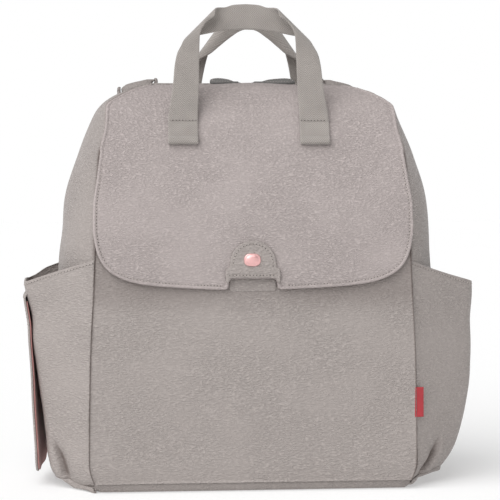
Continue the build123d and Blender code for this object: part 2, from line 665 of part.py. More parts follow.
# ---------------------------------------------------------------- export
def main():
    os.makedirs("parts", exist_ok=True)
    groups = (
        body_panels, body_insides, side_pockets, wipes_flap, closure, handles, zip_parts, straps, label)
    nodes = {}
    for group in groups:
        nodes.update(group())
    for name, shape in nodes.items():
        export_step(shape, f"parts/{name}.step")
        volume = sum(solid.volume for solid in shape.solids()) / 1000
        print(f"{name}: {len(shape.solids())} solids, {volume:.2f} cm3")


main()
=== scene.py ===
import math

import bpy
import numpy as np
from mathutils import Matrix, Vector, noise
from mathutils.geometry import delaunay_2d_cdt


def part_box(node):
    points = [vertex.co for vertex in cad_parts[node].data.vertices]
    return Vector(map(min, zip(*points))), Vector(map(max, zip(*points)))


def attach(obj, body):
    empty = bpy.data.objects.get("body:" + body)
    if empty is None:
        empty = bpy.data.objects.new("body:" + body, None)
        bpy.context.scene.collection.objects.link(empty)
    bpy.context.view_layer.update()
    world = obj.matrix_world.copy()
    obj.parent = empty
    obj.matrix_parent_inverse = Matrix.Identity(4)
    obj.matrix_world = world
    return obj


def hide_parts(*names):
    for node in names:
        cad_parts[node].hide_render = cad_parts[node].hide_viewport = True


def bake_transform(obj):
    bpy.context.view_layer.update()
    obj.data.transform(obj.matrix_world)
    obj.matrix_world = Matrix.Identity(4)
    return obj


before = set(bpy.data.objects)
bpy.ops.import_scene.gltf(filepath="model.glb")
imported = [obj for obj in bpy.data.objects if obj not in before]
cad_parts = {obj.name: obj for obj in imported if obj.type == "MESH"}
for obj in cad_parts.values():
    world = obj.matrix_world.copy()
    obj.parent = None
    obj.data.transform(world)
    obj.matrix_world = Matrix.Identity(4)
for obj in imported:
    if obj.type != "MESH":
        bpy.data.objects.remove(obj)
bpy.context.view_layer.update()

# Shapes are worked out in millimetres in the model's own frame, and turned to metres as meshes are made.
MM = 0.001

# ---------------------------------------------------------------- driving dimensions
# Columns of the body stations: height, half-width at the seams, half-width at the bulging sides, front y,
# back y, bow of the front. Stations run from bottom to top.
Z, SEAM, BULGE, FRONT, BACK, BOW = range(6)
BODY = np.array([
    (0.0, 131.5, 149.0, -73.5, 72.0, 0.8),
    (8.0, 136.0, 157.0, -76.8, 76.0, 1.0),
    (24.0, 140.2, 161.0, -78.0, 78.0, 2.5),
    (100.0, 139.0, 165.0, -79.0, 78.0, 3.5),
    (190.0, 135.0, 165.0, -78.0, 77.0, 3.0),
    (245.0, 133.2, 160.0, -74.5, 75.0, 2.0),
    (290.0, 130.4, 147.5, -68.0, 71.0, 0.5),
    (312.0, 125.6, 138.0, -61.0, 65.0, 0.5),
    (328.0, 124.6, 129.0, -50.5, 54.5, 0.5),
    (338.0, 112.0, 115.5, -39.0, 43.0, 0.5),
    (344.0, 98.5, 101.0, -28.0, 31.0, 0.5),
    (347.0, 86.0, 89.0, -16.0, 16.0, 0.3),
    (347.2, 83.9, 84.2, -10.6, 10.6, 0.1),
])
LEATHER = 2.2            # thickness of the body's leather
SEAM_GAP = 0.35          # a panel's edge stops this far from its seam
SEAM_ROLL = 2.3          # how far the leather rolls in at the main seams
BASE_SEAM_Z = 8.2
HINGE_Z = 290.5          # fold line of the flap
POCKET_MOUTH_Z = 262.0
BACK_SEAM_Z = 327.0
GUSSET_RUN = 185         # width of a gusset, measured round its bulge
SIDE_NAMES = {-1: "left", 1: "right"}


# ---------------------------------------------------------------- curves and grids
def pchip(x, y, at):
    """Monotone cubic through the points (x, y), at the places given."""
    x, y, at = np.asarray(x, float), np.asarray(y, float), np.asarray(at, float)
    h, d = np.diff(x), np.diff(y) / np.diff(x)
    m = np.zeros(len(x))
    m[0], m[-1] = d[0], d[-1]
    for k in range(1, len(x) - 1):
        if d[k - 1] * d[k] > 0:
            w1, w2 = 2 * h[k] + h[k - 1], h[k] + 2 * h[k - 1]
            m[k] = (w1 + w2) / (w1 / d[k - 1] + w2 / d[k])
    at = np.clip(at, x[0], x[-1])
    k = np.clip(np.searchsorted(x, at, side="right") - 1, 0, len(x) - 2)
    t = (at - x[k]) / h[k]
    return (y[k] * (2 * t**3 - 3 * t**2 + 1) + y[k + 1] * (3 * t**2 - 2 * t**3)
            + h[k] * m[k] * (t**3 - 2 * t**2 + t) + h[k] * m[k + 1] * (t**3 - t**2))


def smooth(t):
    t = np.clip(t, 0, 1)
    return t * t * (3 - 2 * t)


def bump_at(x, centre, width):
    return np.exp(-((x - centre) / width) ** 2)


def clustered(count, length, near=(0.25, 0.6, 1.1, 1.8, 2.6, 3.3, 4.2, 6.0)):
    """Shares from 0 to 1 along a side of this length, closer together near both ends."""
    ends = np.array([d / length for d in near if d < 0.3 * length])
    inner = np.linspace(ends[-1], 1 - ends[-1], count)
    return np.concatenate([[0], ends[:-1], inner, 1 - ends[:-1][::-1], [1]])


def run_length(points):
    """Length along a polyline at each of its points, from 0."""
    return np.concatenate([[0], np.cumsum(np.linalg.norm(np.diff(points, axis=0), axis=1))])


def resampled(points, at):
    """The polyline's points at the given lengths along it."""
    run = run_length(points)
    return np.stack([np.interp(at, run, points[:, k]) for k in range(points.shape[1])], axis=1)


def unit(v):
    return v / np.maximum(np.linalg.norm(v, axis=-1, keepdims=True), 1e-9)


def grid_normals(grid):
    return unit(np.cross(np.gradient(grid, axis=1), np.gradient(grid, axis=0)))


def edge_distances(grid):
    """Distances along the surface to the first and last column, and to the first and last row."""
    du = np.linalg.norm(np.diff(grid, axis=1), axis=2)
    dv = np.linalg.norm(np.diff(grid, axis=0), axis=2)
    u = np.concatenate([np.zeros((grid.shape[0], 1)), np.cumsum(du, axis=1)], axis=1)
    v = np.concatenate([np.zeros((1, grid.shape[1])), np.cumsum(dv, axis=0)], axis=0)
    return u, u[:, -1:] - u, v, v[-1:, :] - v


def rolled(d, radius):
    """How far a rolled edge drops at distance d from it."""
    inside = np.clip(radius - d, 0, radius)
    return radius - np.sqrt(np.maximum(radius**2 - inside**2, 0))


def ripple(points, scale, seed=0.0):
    """Smooth noise from -1 to 1 at points in millimetres, with features about scale across."""
    flat = np.asarray(points, float).reshape(-1, 3) / scale + seed
    values = np.array([noise.noise(Vector(p)) for p in flat])
    return values.reshape(np.shape(points)[:-1])


# ---------------------------------------------------------------- mesh making
def make_object(name, points, faces, material, body=None, uvs=None):
    """Mesh object from points in millimetres, riding on a body when one is given."""
    mesh = bpy.data.meshes.new(name)
    mesh.from_pydata((np.asarray(points) * MM).tolist(), [], [tuple(f) for f in faces])
    mesh.validate()
    mesh.shade_smooth()
    for m in material if isinstance(material, (list, tuple)) else [material]:
        mesh.materials.append(m)
    if uvs is not None:
        layer = mesh.uv_layers.new(name="UVMap")
        index = np.empty(len(mesh.loops), int)
        mesh.loops.foreach_get("vertex_index", index)
        layer.data.foreach_set("uv", np.asarray(uvs, float)[index].ravel())
    obj = bpy.data.objects.new(name, mesh)
    bpy.context.scene.collection.objects.link(obj)
    if body:
        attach(obj, body)
    return obj


def stands_for(obj, slot, *nodes):
    """The piece takes the place of these CAD nodes, which are hidden; slot is not used."""
    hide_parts(*nodes)
    return obj


def set_point_values(obj, name, values):
    """A number from 0 to 1 for each point, which the leather material reads by its name."""
    layer = obj.data.attributes.new(name, "FLOAT", "POINT")
    layer.data.foreach_set("value", np.asarray(values, np.float32).ravel())


def grid_faces(rows, cols, start=0, wrap=False, flip=False):
    faces = []
    for r in range(rows - 1):
        for c in range(cols if wrap else cols - 1):
            a, b = start + r * cols + c, start + r * cols + (c + 1) % cols
            quad = (a, b, b + cols, a + cols)
            faces.append(quad[::-1] if flip else quad)
    return faces


def shell(name, outer, inner, material, body, wrap=False, uvs=None):
    """Closed piece from an outer and an inner grid of points, joined along their borders."""
    rows, cols = outer.shape[:2]
    count = rows * cols
    at = lambda r, c: r * cols + c
    faces = grid_faces(rows, cols, 0, wrap) + grid_faces(rows, cols, count, wrap, flip=True)
    border = [(at(0, c), at(0, (c + 1) % cols)) for c in range(cols if wrap else cols - 1)]
    border += [(at(rows - 1, (c + 1) % cols), at(rows - 1, c)) for c in range(cols if wrap else cols - 1)]
    if not wrap:
        border += [(at(r, cols - 1), at(r + 1, cols - 1)) for r in range(rows - 1)]
        border += [(at(r + 1, 0), at(r, 0)) for r in range(rows - 1)]
    faces += [(b, a, a + count, b + count) for a, b in border]
    points = np.concatenate([outer.reshape(-1, 3), inner.reshape(-1, 3)])
    if uvs is not None:
        uvs = np.concatenate([uvs.reshape(-1, 2)] * 2)
    return make_object(name, points, faces, material, body, uvs)


def ring_stack(name, rings, material, body, flip=False, flip_caps=False):
    """Closed piece from a stack of rings, with a cap on the first and on the last."""
    rows, turns = rings.shape[:2]
    caps = [tuple(range(turns))[::-1], tuple(range((rows - 1) * turns, rows * turns))]
    caps = [cap[::-1] for cap in caps] if flip_caps else caps
    faces = grid_faces(rows, turns, wrap=True, flip=flip) + caps
    return make_object(name, rings.reshape(-1, 3), faces, material, body)


def leather_panel(name, grid, out_sign, roll, wave, seed, thick=LEATHER, material=None, edges="lrtb", extra=0.0,
                  painted_shade="lrb", shade=0.0):
    """Panel of the bag over a grid of outer points: rolled edges, sewn-in puckers, soft unevenness and painted
    shade along its seams and wherever extra painted shade is given.
    """
    n = grid_normals(grid) * out_sign
    distances = dict(zip("lrtb", edge_distances(grid)))
    d = np.minimum.reduce([distances[e] for e in edges])
    pucker = ripple(grid, 7.0, seed + 3) * np.exp(-np.maximum(d - 1.0, 0) / 7.0)
    height = -rolled(d, roll) + 0.55 * pucker * smooth(d / 2.0)
    height = height + wave * ripple(grid, 55.0, seed) + 0.4 * wave * ripple(grid, 24.0, seed + 9) + extra
    outer = grid + n * height[..., None]
    under = -thick + np.minimum(height, 0) * 0.35 + np.maximum(height, 0)
    inner = grid + n * under[..., None]
    obj = shell(name, outer[:, ::out_sign], inner[:, ::out_sign], material or leather, "bag")
    # Painted shade: the colour darkens in a narrow band along the chosen seam edges, where the rolled leather
    # lies in shade, and wherever extra painted shade is handed in.
    seam = np.minimum.reduce([distances[e] for e in painted_shade])
    dark = np.clip(0.75 * np.exp(-((seam / 0.75) ** 2)) + shade, 0, 1)
    set_point_values(obj, "painted_shade", np.concatenate([dark[:, ::out_sign].ravel()] * 2))
    return obj, outer, n


# ---------------------------------------------------------------- body surfaces
# Places on the front and back are given by x and by the chord: the length along the front's profile from
# the floor.
CHORD = np.concatenate([[0], np.cumsum(np.hypot(np.diff(BODY[:, Z]), np.diff(BODY[:, FRONT])))])
CHORD_TOP = CHORD[-1] - 0.2
CHORD_TABLE = np.linspace(0, CHORD[-1], 800)


def station(column, chord):
    """One column of the body stations at a chord."""
    return pchip(CHORD, BODY[:, column], chord)


def chord_at(z):
    return np.interp(z, station(Z, CHORD_TABLE), CHORD_TABLE)


def forward(column, chord):
    """Direction at right angles to the front or back surface, pointing forwards, as y and z."""
    slope_y = station(column, chord + 1) - station(column, chord - 1)
    slope_z = station(Z, chord + 1) - station(Z, chord - 1)
    size = np.maximum(np.hypot(slope_y, slope_z), 1e-6)
    return -slope_z / size, slope_y / size


def front_at(x, chord, stand=0.0):
    """Point on the front and top of the body, stand millimetres out from it."""
    x, chord = np.broadcast_arrays(np.asarray(x, float), np.asarray(chord, float))
    seam, y, bow, z = (station(k, chord) for k in (SEAM, FRONT, BOW, Z))
    out_y, out_z = forward(FRONT, chord)
    bowed = bow * (1 - np.clip(x / seam, -1, 1) ** 2)
    return np.stack([x, y + out_y * (stand + bowed), z + out_z * stand], axis=-1)


def back_at(x, chord, stand=0.0):
    """Point on the back of the body, stand millimetres out from it."""
    x, chord = np.broadcast_arrays(np.asarray(x, float), np.asarray(chord, float))
    in_y, in_z = forward(BACK, chord)
    return np.stack([x, station(BACK, chord) - in_y * stand, station(Z, chord) - in_z * stand], axis=-1)


def panel_grid(surface, low, high, rows, columns, trim=SEAM_GAP):
    """Grid of points over a body surface, between two chords and from seam to seam, with its chords."""
    chords = low + (high - low) * clustered(*rows)
    x = (2 * clustered(*columns) - 1)[None, :] * (station(SEAM, chords)[:, None] - trim)
    return surface(x, np.repeat(chords[:, None], x.shape[1], axis=1)), chords


def arc_through(start, middle, end, share):
    """Points on the circle through three plan points, at shares 0 to 1 of its run."""
    (ax, ay), (bx, by), (cx, cy) = start, middle, end
    d = 2 * (ax * (by - cy) + bx * (cy - ay) + cx * (ay - by))
    a2, b2, c2 = ax**2 + ay**2, bx**2 + by**2, cx**2 + cy**2
    ox = (a2 * (by - cy) + b2 * (cy - ay) + c2 * (ay - by)) / d
    oy = (a2 * (cx - bx) + b2 * (ax - cx) + c2 * (bx - ax)) / d
    first, last = np.arctan2(ay - oy, ax - ox), np.arctan2(cy - oy, cx - ox)
    turn = (last - first + np.pi) % (2 * np.pi) - np.pi
    radius = np.hypot(ax - ox, ay - oy)
    angle = first + turn * share
    return ox + radius * np.cos(angle), oy + radius * np.sin(angle)


def gusset_at(share, chord):
    """Point on the right gusset, from the front seam (share 0) to the back seam (1)."""
    seam, bulge, front, back, z = (station(k, chord) for k in (SEAM, BULGE, FRONT, BACK, Z))
    x, y = arc_through((seam, front), (bulge, (front + back) / 2), (seam, back), share)
    return np.stack([x, y, z + 0 * x], axis=-1)


# ---------------------------------------------------------------- materials
def node_material(name, colour, roughness=0.55, specular=0.4, metallic=0.0, sheen=0.0):
    """Material with a Principled shader; returns it with its node tree and shader."""
    mat = bpy.data.materials.new(name)
    mat.use_nodes = True
    tree = mat.node_tree
    shader = tree.nodes["Principled BSDF"]
    shader.inputs["Base Color"].default_value = (*colour, 1)
    shader.inputs["Roughness"].default_value = roughness
    shader.inputs["Specular IOR Level"].default_value = specular
    shader.inputs["Metallic"].default_value = metallic
    if sheen:
        shader.inputs["Sheen Weight"].default_value = sheen
        shader.inputs["Sheen Roughness"].default_value = 0.5
    return mat, tree, shader


def add_node(tree, kind, **values):
    node = tree.nodes.new(kind)
    for key, value in values.items():
        if hasattr(node, key):
            setattr(node, key, value)
        else:
            node.inputs[key.replace("_", " ")].default_value = value
    return node


def colour_ramp(tree, fac, stops):
    ramp = tree.nodes.new("ShaderNodeValToRGB")
    elements = ramp.color_ramp.elements
    elements[0].position, elements[0].color = stops[0][0], (*stops[0][1], 1)
    elements[1].position, elements[1].color = stops[-1][0], (*stops[-1][1], 1)
    for place, colour in stops[1:-1]:
        elements.new(place).color = (*colour, 1)
    tree.links.new(fac, ramp.inputs["Fac"])
    return ramp.outputs["Color"]


def grey(value):
    return (value, value, value)


def mapped(tree, source, scale):
    """Texture coordinates stretched by scale along x, y and z."""
    coords = tree.nodes.new("ShaderNodeTexCoord")
    mapping = tree.nodes.new("ShaderNodeMapping")
    mapping.inputs["Scale"].default_value = scale
    tree.links.new(coords.outputs[source], mapping.inputs["Vector"])
    return mapping.outputs["Vector"]


def noise_over(tree, stretch=(1, 1, 1), **values):
    """Noise texture over the object's own coordinates, stretched along x, y and z."""
    node = add_node(tree, "ShaderNodeTexNoise", **values)
    tree.links.new(mapped(tree, "Object", stretch), node.inputs["Vector"])
    return node.outputs


def mixed(tree, blend, fac, first, second):
    """Mix of two colours; each value is a socket, a number or a colour."""
    node = add_node(tree, "ShaderNodeMixRGB", blend_type=blend)
    for socket, value in (("Fac", fac), ("Color1", first), ("Color2", second)):
        if isinstance(value, bpy.types.NodeSocket):
            tree.links.new(value, node.inputs[socket])
        else:
            node.inputs[socket].default_value = value if socket == "Fac" else (*value, 1)
    return node.outputs["Color"]


def scaled(colour, *factors):
    """Colour times one factor or a factor for each channel, at most 1."""
    return tuple(min(1.0, c * k) for c, k in zip(colour, factors * (3 // len(factors))))


def bump_chain(tree, shader, layers):
    """Stack of bumps: (height socket, strength, distance in metres)."""
    last = None
    for height, strength, distance in layers:
        node = add_node(tree, "ShaderNodeBump", Strength=strength, Distance=distance)
        tree.links.new(height, node.inputs["Height"])
        if last is not None:
            tree.links.new(last, node.inputs["Normal"])
        last = node.outputs["Normal"]
    tree.links.new(last, shader.inputs["Normal"])


def mottled(tree, shader, fac, colour, low, high, places=(0.3, 0.7)):
    """Base colour that varies between two factors of the given one."""
    stops = [(places[0], scaled(colour, low)), (places[1], scaled(colour, high))]
    tree.links.new(colour_ramp(tree, fac, stops), shader.inputs["Base Color"])


def leather_material(name, colour, long=2.8, short=1.15, relief=0.9, roughness=0.5, fleck=0.11):
    """Pebbled leather-like material: grain that runs across, flecks, mottling, a painted highlight on rolled
    edges and painted shade along seams, in folds and under the flap.
    """
    mat, tree, shader = node_material(name, colour, roughness, 0.5)
    bend = noise_over(tree, Scale=110.0, Detail=2.0)
    along = mapped(tree, "Object", (1000 / long, 1000 / long, 1000 / short))
    grain = add_node(tree, "ShaderNodeTexNoise", Scale=1.0, Detail=2.5, Roughness=0.55)
    tree.links.new(mixed(tree, "ADD", 0.8, along, bend["Color"]), grain.inputs["Vector"])
    grain = grain.outputs["Fac"]
    patches = noise_over(tree, (1, 1, 1.3), Scale=15.0, Detail=3.0)
    strength = colour_ramp(tree, patches["Fac"], [(0.36, grey(0.5)), (0.58, grey(1))])
    fine = noise_over(tree, Scale=1500.0, Detail=2.0)
    pebble = colour_ramp(tree, grain, [(0.34, grey(0)), (0.66, grey(1))])
    pebble = mixed(tree, "MULTIPLY", 1.0, pebble, strength)
    bump_chain(tree, shader, [(pebble, relief, 0.0007), (fine["Fac"], 0.2, 0.00012)])
    tone = colour_ramp(tree, grain, [(0.36, scaled(colour, 1 - fleck * 0.6)), (0.47, colour), (0.53, colour),
                                     (0.63, scaled(colour, 1 + fleck * 1.7))])
    shade = mixed(tree, "MIX", strength, colour, tone)
    # Two point attributes paint light into the colour: a painted highlight that lightens rolled edges, and
    # painted shade that darkens seams, folds and the parts under the flap.
    for attribute, factors in (("painted_edge_highlight", (1.3,)), ("painted_shade", (0.36, 0.31, 0.29))):
        amount = add_node(tree, "ShaderNodeAttribute", attribute_name=attribute)
        shade = mixed(tree, "MIX", amount.outputs["Fac"], shade, scaled(colour, *factors))
    tree.links.new(shade, shader.inputs["Base Color"])
    gloss = colour_ramp(tree, grain, [(0.4, grey(roughness + 0.1)), (0.7, grey(roughness - 0.1))])
    tree.links.new(gloss, shader.inputs["Roughness"])
    return mat


def webbing_material(name, colour, ribs=1.9, strength=0.9):
    """Herringbone twill webbing, laid out along the strap by its UV in metres."""
    mat, tree, shader = node_material(name, colour, 0.78, 0.25, sheen=0.25)
    links = tree.links
    coords = tree.nodes.new("ShaderNodeTexCoord")
    split = tree.nodes.new("ShaderNodeSeparateXYZ")
    links.new(coords.outputs["UV"], split.inputs["Vector"])

    def math_node(operation, a, b=None):
        node = add_node(tree, "ShaderNodeMath", operation=operation)
        for k, value in enumerate((a, b)):
            if isinstance(value, (int, float)):
                node.inputs[k].default_value = value
            elif value is not None:
                links.new(value, node.inputs[k])
        return node.outputs[0]

    zigzag = math_node("PINGPONG", split.outputs["X"], 0.0042)
    slanted = math_node("ADD", math_node("MULTIPLY", zigzag, 1.1), split.outputs["Y"])
    rib = math_node("SINE", math_node("MULTIPLY", slanted, 2 * math.pi * 1000 / ribs))
    yarn = math_node("SINE", math_node("MULTIPLY", split.outputs["X"], 2 * math.pi * 1000 / 0.62))
    both = math_node("ADD", math_node("MULTIPLY", rib, 0.5), math_node("MULTIPLY", yarn, 0.28))
    weave = math_node("ADD", both, 0.5)
    fuzz = add_node(tree, "ShaderNodeTexNoise", Scale=2600.0, Detail=3.0)
    links.new(coords.outputs["Object"], fuzz.inputs["Vector"])
    bump_chain(tree, shader, [(weave, strength, 0.00035), (fuzz.outputs["Fac"], 0.35, 0.0002)])
    base = colour_ramp(tree, weave, [(0.1, scaled(colour, 0.66)), (0.8, scaled(colour, 1.12))])
    tint = add_node(tree, "ShaderNodeTexNoise", Scale=60.0, Detail=4.0)
    links.new(coords.outputs["Object"], tint.inputs["Vector"])
    tint = colour_ramp(tree, tint.outputs["Fac"], [(0.3, grey(0.84)), (0.7, grey(1.08))])
    links.new(mixed(tree, "MULTIPLY", 0.6, base, tint), shader.inputs["Base Color"])
    return mat


def cloth_material(name, colour, pitch=0.5, roughness=0.8):
    """Plain-woven cloth."""
    mat, tree, shader = node_material(name, colour, roughness, 0.3, sheen=0.2)
    weave = add_node(tree, "ShaderNodeTexVoronoi", feature="F1", distance="CHEBYCHEV", Scale=1.0,
                     Randomness=0.25)
    tree.links.new(mapped(tree, "Object", (1000 / pitch,) * 3), weave.inputs["Vector"])
    soft = noise_over(tree, Scale=70.0, Detail=4.0)["Fac"]
    bump_chain(tree, shader, [(weave.outputs["Distance"], 0.5, 0.0002), (soft, 0.2, 0.0015)])
    mottled(tree, shader, soft, colour, 0.84, 1.1)
    return mat


def metal_material(name, colour, roughness=0.25, scratch=0.06):
    mat, tree, shader = node_material(name, colour, roughness, 0.5, metallic=1.0)
    smear = noise_over(tree, Scale=420.0, Detail=5.0, Roughness=0.7)["Fac"]
    gloss = colour_ramp(tree, smear, [(0.3, grey(roughness * 0.75)), (0.75, grey(roughness * 1.5))])
    tree.links.new(gloss, shader.inputs["Roughness"])
    bump_chain(tree, shader, [(smear, scratch, 0.0001)])
    mottled(tree, shader, smear, colour, 0.9, 1.05)
    return mat


def plastic_material(name, colour, roughness=0.5):
    mat, tree, shader = node_material(name, colour, roughness, 0.5)
    grainy = noise_over(tree, Scale=1500.0, Detail=3.0)["Fac"]
    bump_chain(tree, shader, [(grainy, 0.2, 0.0001)])
    mottled(tree, shader, grainy, colour, 0.85, 1.2)
    return mat


LEATHER_GREY = (0.318, 0.282, 0.266)
leather = leather_material("leather_grey", LEATHER_GREY)
# Brighter copy of the leather for the flap: painted light, since the flap faces more towards the light; its
# finer grain and stronger flecks are its own.
leather_flap_painted_light = leather_material("leather_flap_painted_light", scaled(LEATHER_GREY, 1.13, 1.11, 1.14), long=2.3, short=0.9,
                                fleck=0.17)
# Darker copy of the leather for the shoulder straps: painted shade for their faces that turn away from the
# light.
leather_strap_shade_painted = leather_material("leather_strap_shade_painted", scaled(LEATHER_GREY, 0.86))
leather_dark = leather_material("leather_pull", (0.15, 0.145, 0.14), long=1.4, short=1.1)
webbing = webbing_material("webbing_twill", (0.385, 0.35, 0.325))
pink_cloth = cloth_material("lining_pink", (0.56, 0.27, 0.25))
grey_cloth = cloth_material("lining_grey", (0.20, 0.19, 0.185))
tape_cloth = cloth_material("zip_tape", (0.17, 0.16, 0.155), pitch=0.7)
red_cloth = cloth_material("label_red", (0.37, 0.036, 0.045), pitch=0.35)
thread = cloth_material("thread_grey", (0.42, 0.375, 0.35), pitch=0.3, roughness=0.6)
# Dark discs set in the needle holes: painted shade standing for the shade inside the holes.
painted_hole_shade = cloth_material("needle_hole_painted_shade", (0.05, 0.045, 0.04), pitch=0.3)
rose_gold = metal_material("rose_gold", (0.84, 0.50, 0.49), 0.42)
zip_metal = metal_material("zip_metal", (0.22, 0.215, 0.21), 0.34, 0.12)
steel = metal_material("magnet_steel", (0.62, 0.62, 0.63), 0.3)
black_plastic = plastic_material("buckle_plastic", (0.035, 0.034, 0.033), 0.42)
board_plastic = plastic_material("base_board_plastic", (0.07, 0.07, 0.07), 0.6)


# ---------------------------------------------------------------- panels with any outline
def even(points, step, closed=False):
    """Polyline resampled at an even step."""
    points = np.asarray(points, float)
    if closed:
        points = np.vstack([points, points[:1]])
    total = run_length(points)[-1]
    out = resampled(points, np.linspace(0, total, max(3, int(round(total / step)) + 1)))
    return out[:-1] if closed else out


def two_sided(half):
    """Closed outline from its right half, mirrored across the middle plane."""
    half = np.asarray(half, float)
    return np.vstack([half, (half * [-1, 1])[::-1]])


def quarter_turn(start, corner, end, share):
    """Points on the soft corner from start to end, at shares 0 to 1."""
    return (1 - share) ** 2 * start + 2 * share * (1 - share) * corner + share**2 * end


def rounded(corners, radii, step=1.0):
    """Closed outline through corner points, each rounded to its own radius."""
    corners = [np.array(c, float) for c in corners]
    out = []
    for k, corner in enumerate(corners):
        before, after = corners[k - 1], corners[(k + 1) % len(corners)]
        a, b = unit(before - corner), unit(after - corner)
        r = radii[k] if hasattr(radii, "__len__") else radii
        half = 0.5 * np.arccos(np.clip(a @ b, -1, 1))
        back = min(r / max(np.tan(half), 1e-3), 0.49 * np.linalg.norm(before - corner),
                   0.49 * np.linalg.norm(after - corner))
        start, end = corner + a * back, corner + b * back
        share = np.linspace(0, 1, max(3, int(r / step) + 4))[:, None]
        out.append(quarter_turn(start, corner, end, share))
    return even(np.vstack(out), step, closed=True)


def edge_gap(points, outline):
    """Distance from each point to the closed outline."""
    start, end = outline, np.roll(outline, -1, axis=0)
    along = end - start
    length = np.maximum((along**2).sum(axis=1), 1e-12)
    best = np.full(len(points), 1e9)
    for low in range(0, len(points), 2000):
        p = points[low:low + 2000, None, :]
        t = np.clip(((p - start) * along).sum(axis=2) / length, 0, 1)
        best[low:low + 2000] = np.linalg.norm(p - (start + t[..., None] * along), axis=2).min(axis=1)
    return best


def inside(points, outline):
    start, end = outline, np.roll(outline, -1, axis=0)
    x, y = points[:, 0:1], points[:, 1:2]
    crosses = (start[:, 1] > y) != (end[:, 1] > y)
    run = end[:, 1] - start[:, 1]
    where = start[:, 0] + (y - start[:, 1]) * (end[:, 0] - start[:, 0]) / np.where(run == 0, 1e-12, run)
    return (crosses & (x < where)).sum(axis=1) % 2 == 1


def inner_ring(outline, gap):
    """The outline moved inwards by gap."""
    along = np.roll(outline, -1, axis=0) - np.roll(outline, 1, axis=0)
    normal = unit(np.stack([-along[:, 1], along[:, 0]], axis=1))
    area = 0.5 * np.sum(outline[:, 0] * np.roll(outline[:, 1], -1) - np.roll(outline[:, 0], -1) * outline[:, 1])
    ring = outline + normal * gap * np.sign(area)
    return ring[edge_gap(ring, outline) > 0.93 * gap]


def outline_panel(name, outline, surface, thick, material, body, step=3.0, roll=0.8, bead=0.0, groove=None,
                  shape=None, painted_edge_highlight=0.0):
    """Leather piece cut to an outline and laid on a surface: surface(a, b, height) gives its points."""
    rings = [inner_ring(outline, gap) for gap in (0.3, 0.7, 1.2, 1.9, 2.6, 3.3, 4.2, 5.6)]
    low, high = outline.min(axis=0), outline.max(axis=0)
    lattice = []
    for k, row in enumerate(np.arange(low[1], high[1], step * 0.87)):
        across = np.arange(low[0] + (k % 2) * step / 2, high[0], step)
        lattice.append(np.stack([across, np.full(len(across), row)], axis=1))
    lattice = np.vstack(lattice)
    lattice = lattice[inside(lattice, outline)]
    lattice = lattice[edge_gap(lattice, outline) > 5.6 + 0.6 * step]
    flat = np.vstack([outline, *[r for r in rings if len(r)], lattice])
    border = [(k, (k + 1) % len(outline)) for k in range(len(outline))]
    verts, _, faces, *_ = delaunay_2d_cdt([Vector(p) for p in flat], border, [], 1, 1e-4)
    flat = np.array([tuple(v) for v in verts])
    a, b, d = flat[:, 0], flat[:, 1], edge_gap(flat, outline)
    height = -rolled(d, roll) + bead * bump_at(d, 1.5, 1.0)
    if groove:
        height = height - 0.4 * bump_at(d, groove, 0.75)
    raised = shape(a, b, d) if shape else 0.0
    under = -thick + 0.35 * rolled(d, roll) + raised
    points = np.vstack([surface(a, b, height + raised), surface(a, b, under)])
    count = len(flat)
    edges = dict.fromkeys(edge for f in faces for edge in zip(f, f[1:] + f[:1]))
    rim = [(q, p, p + count, q + count) for p, q in edges if (q, p) not in edges]
    every = [tuple(f) for f in faces] + [tuple(i + count for i in reversed(f)) for f in faces] + rim
    obj = make_object(name, points, every, material, body)
    # Painted highlight: the colour lightens along the rolled edge, where the edge catches the light.
    if painted_edge_highlight:
        set_point_values(obj, "painted_edge_highlight", np.concatenate([painted_edge_highlight * bump_at(d, 0.9, 1.0)] * 2))
    return obj


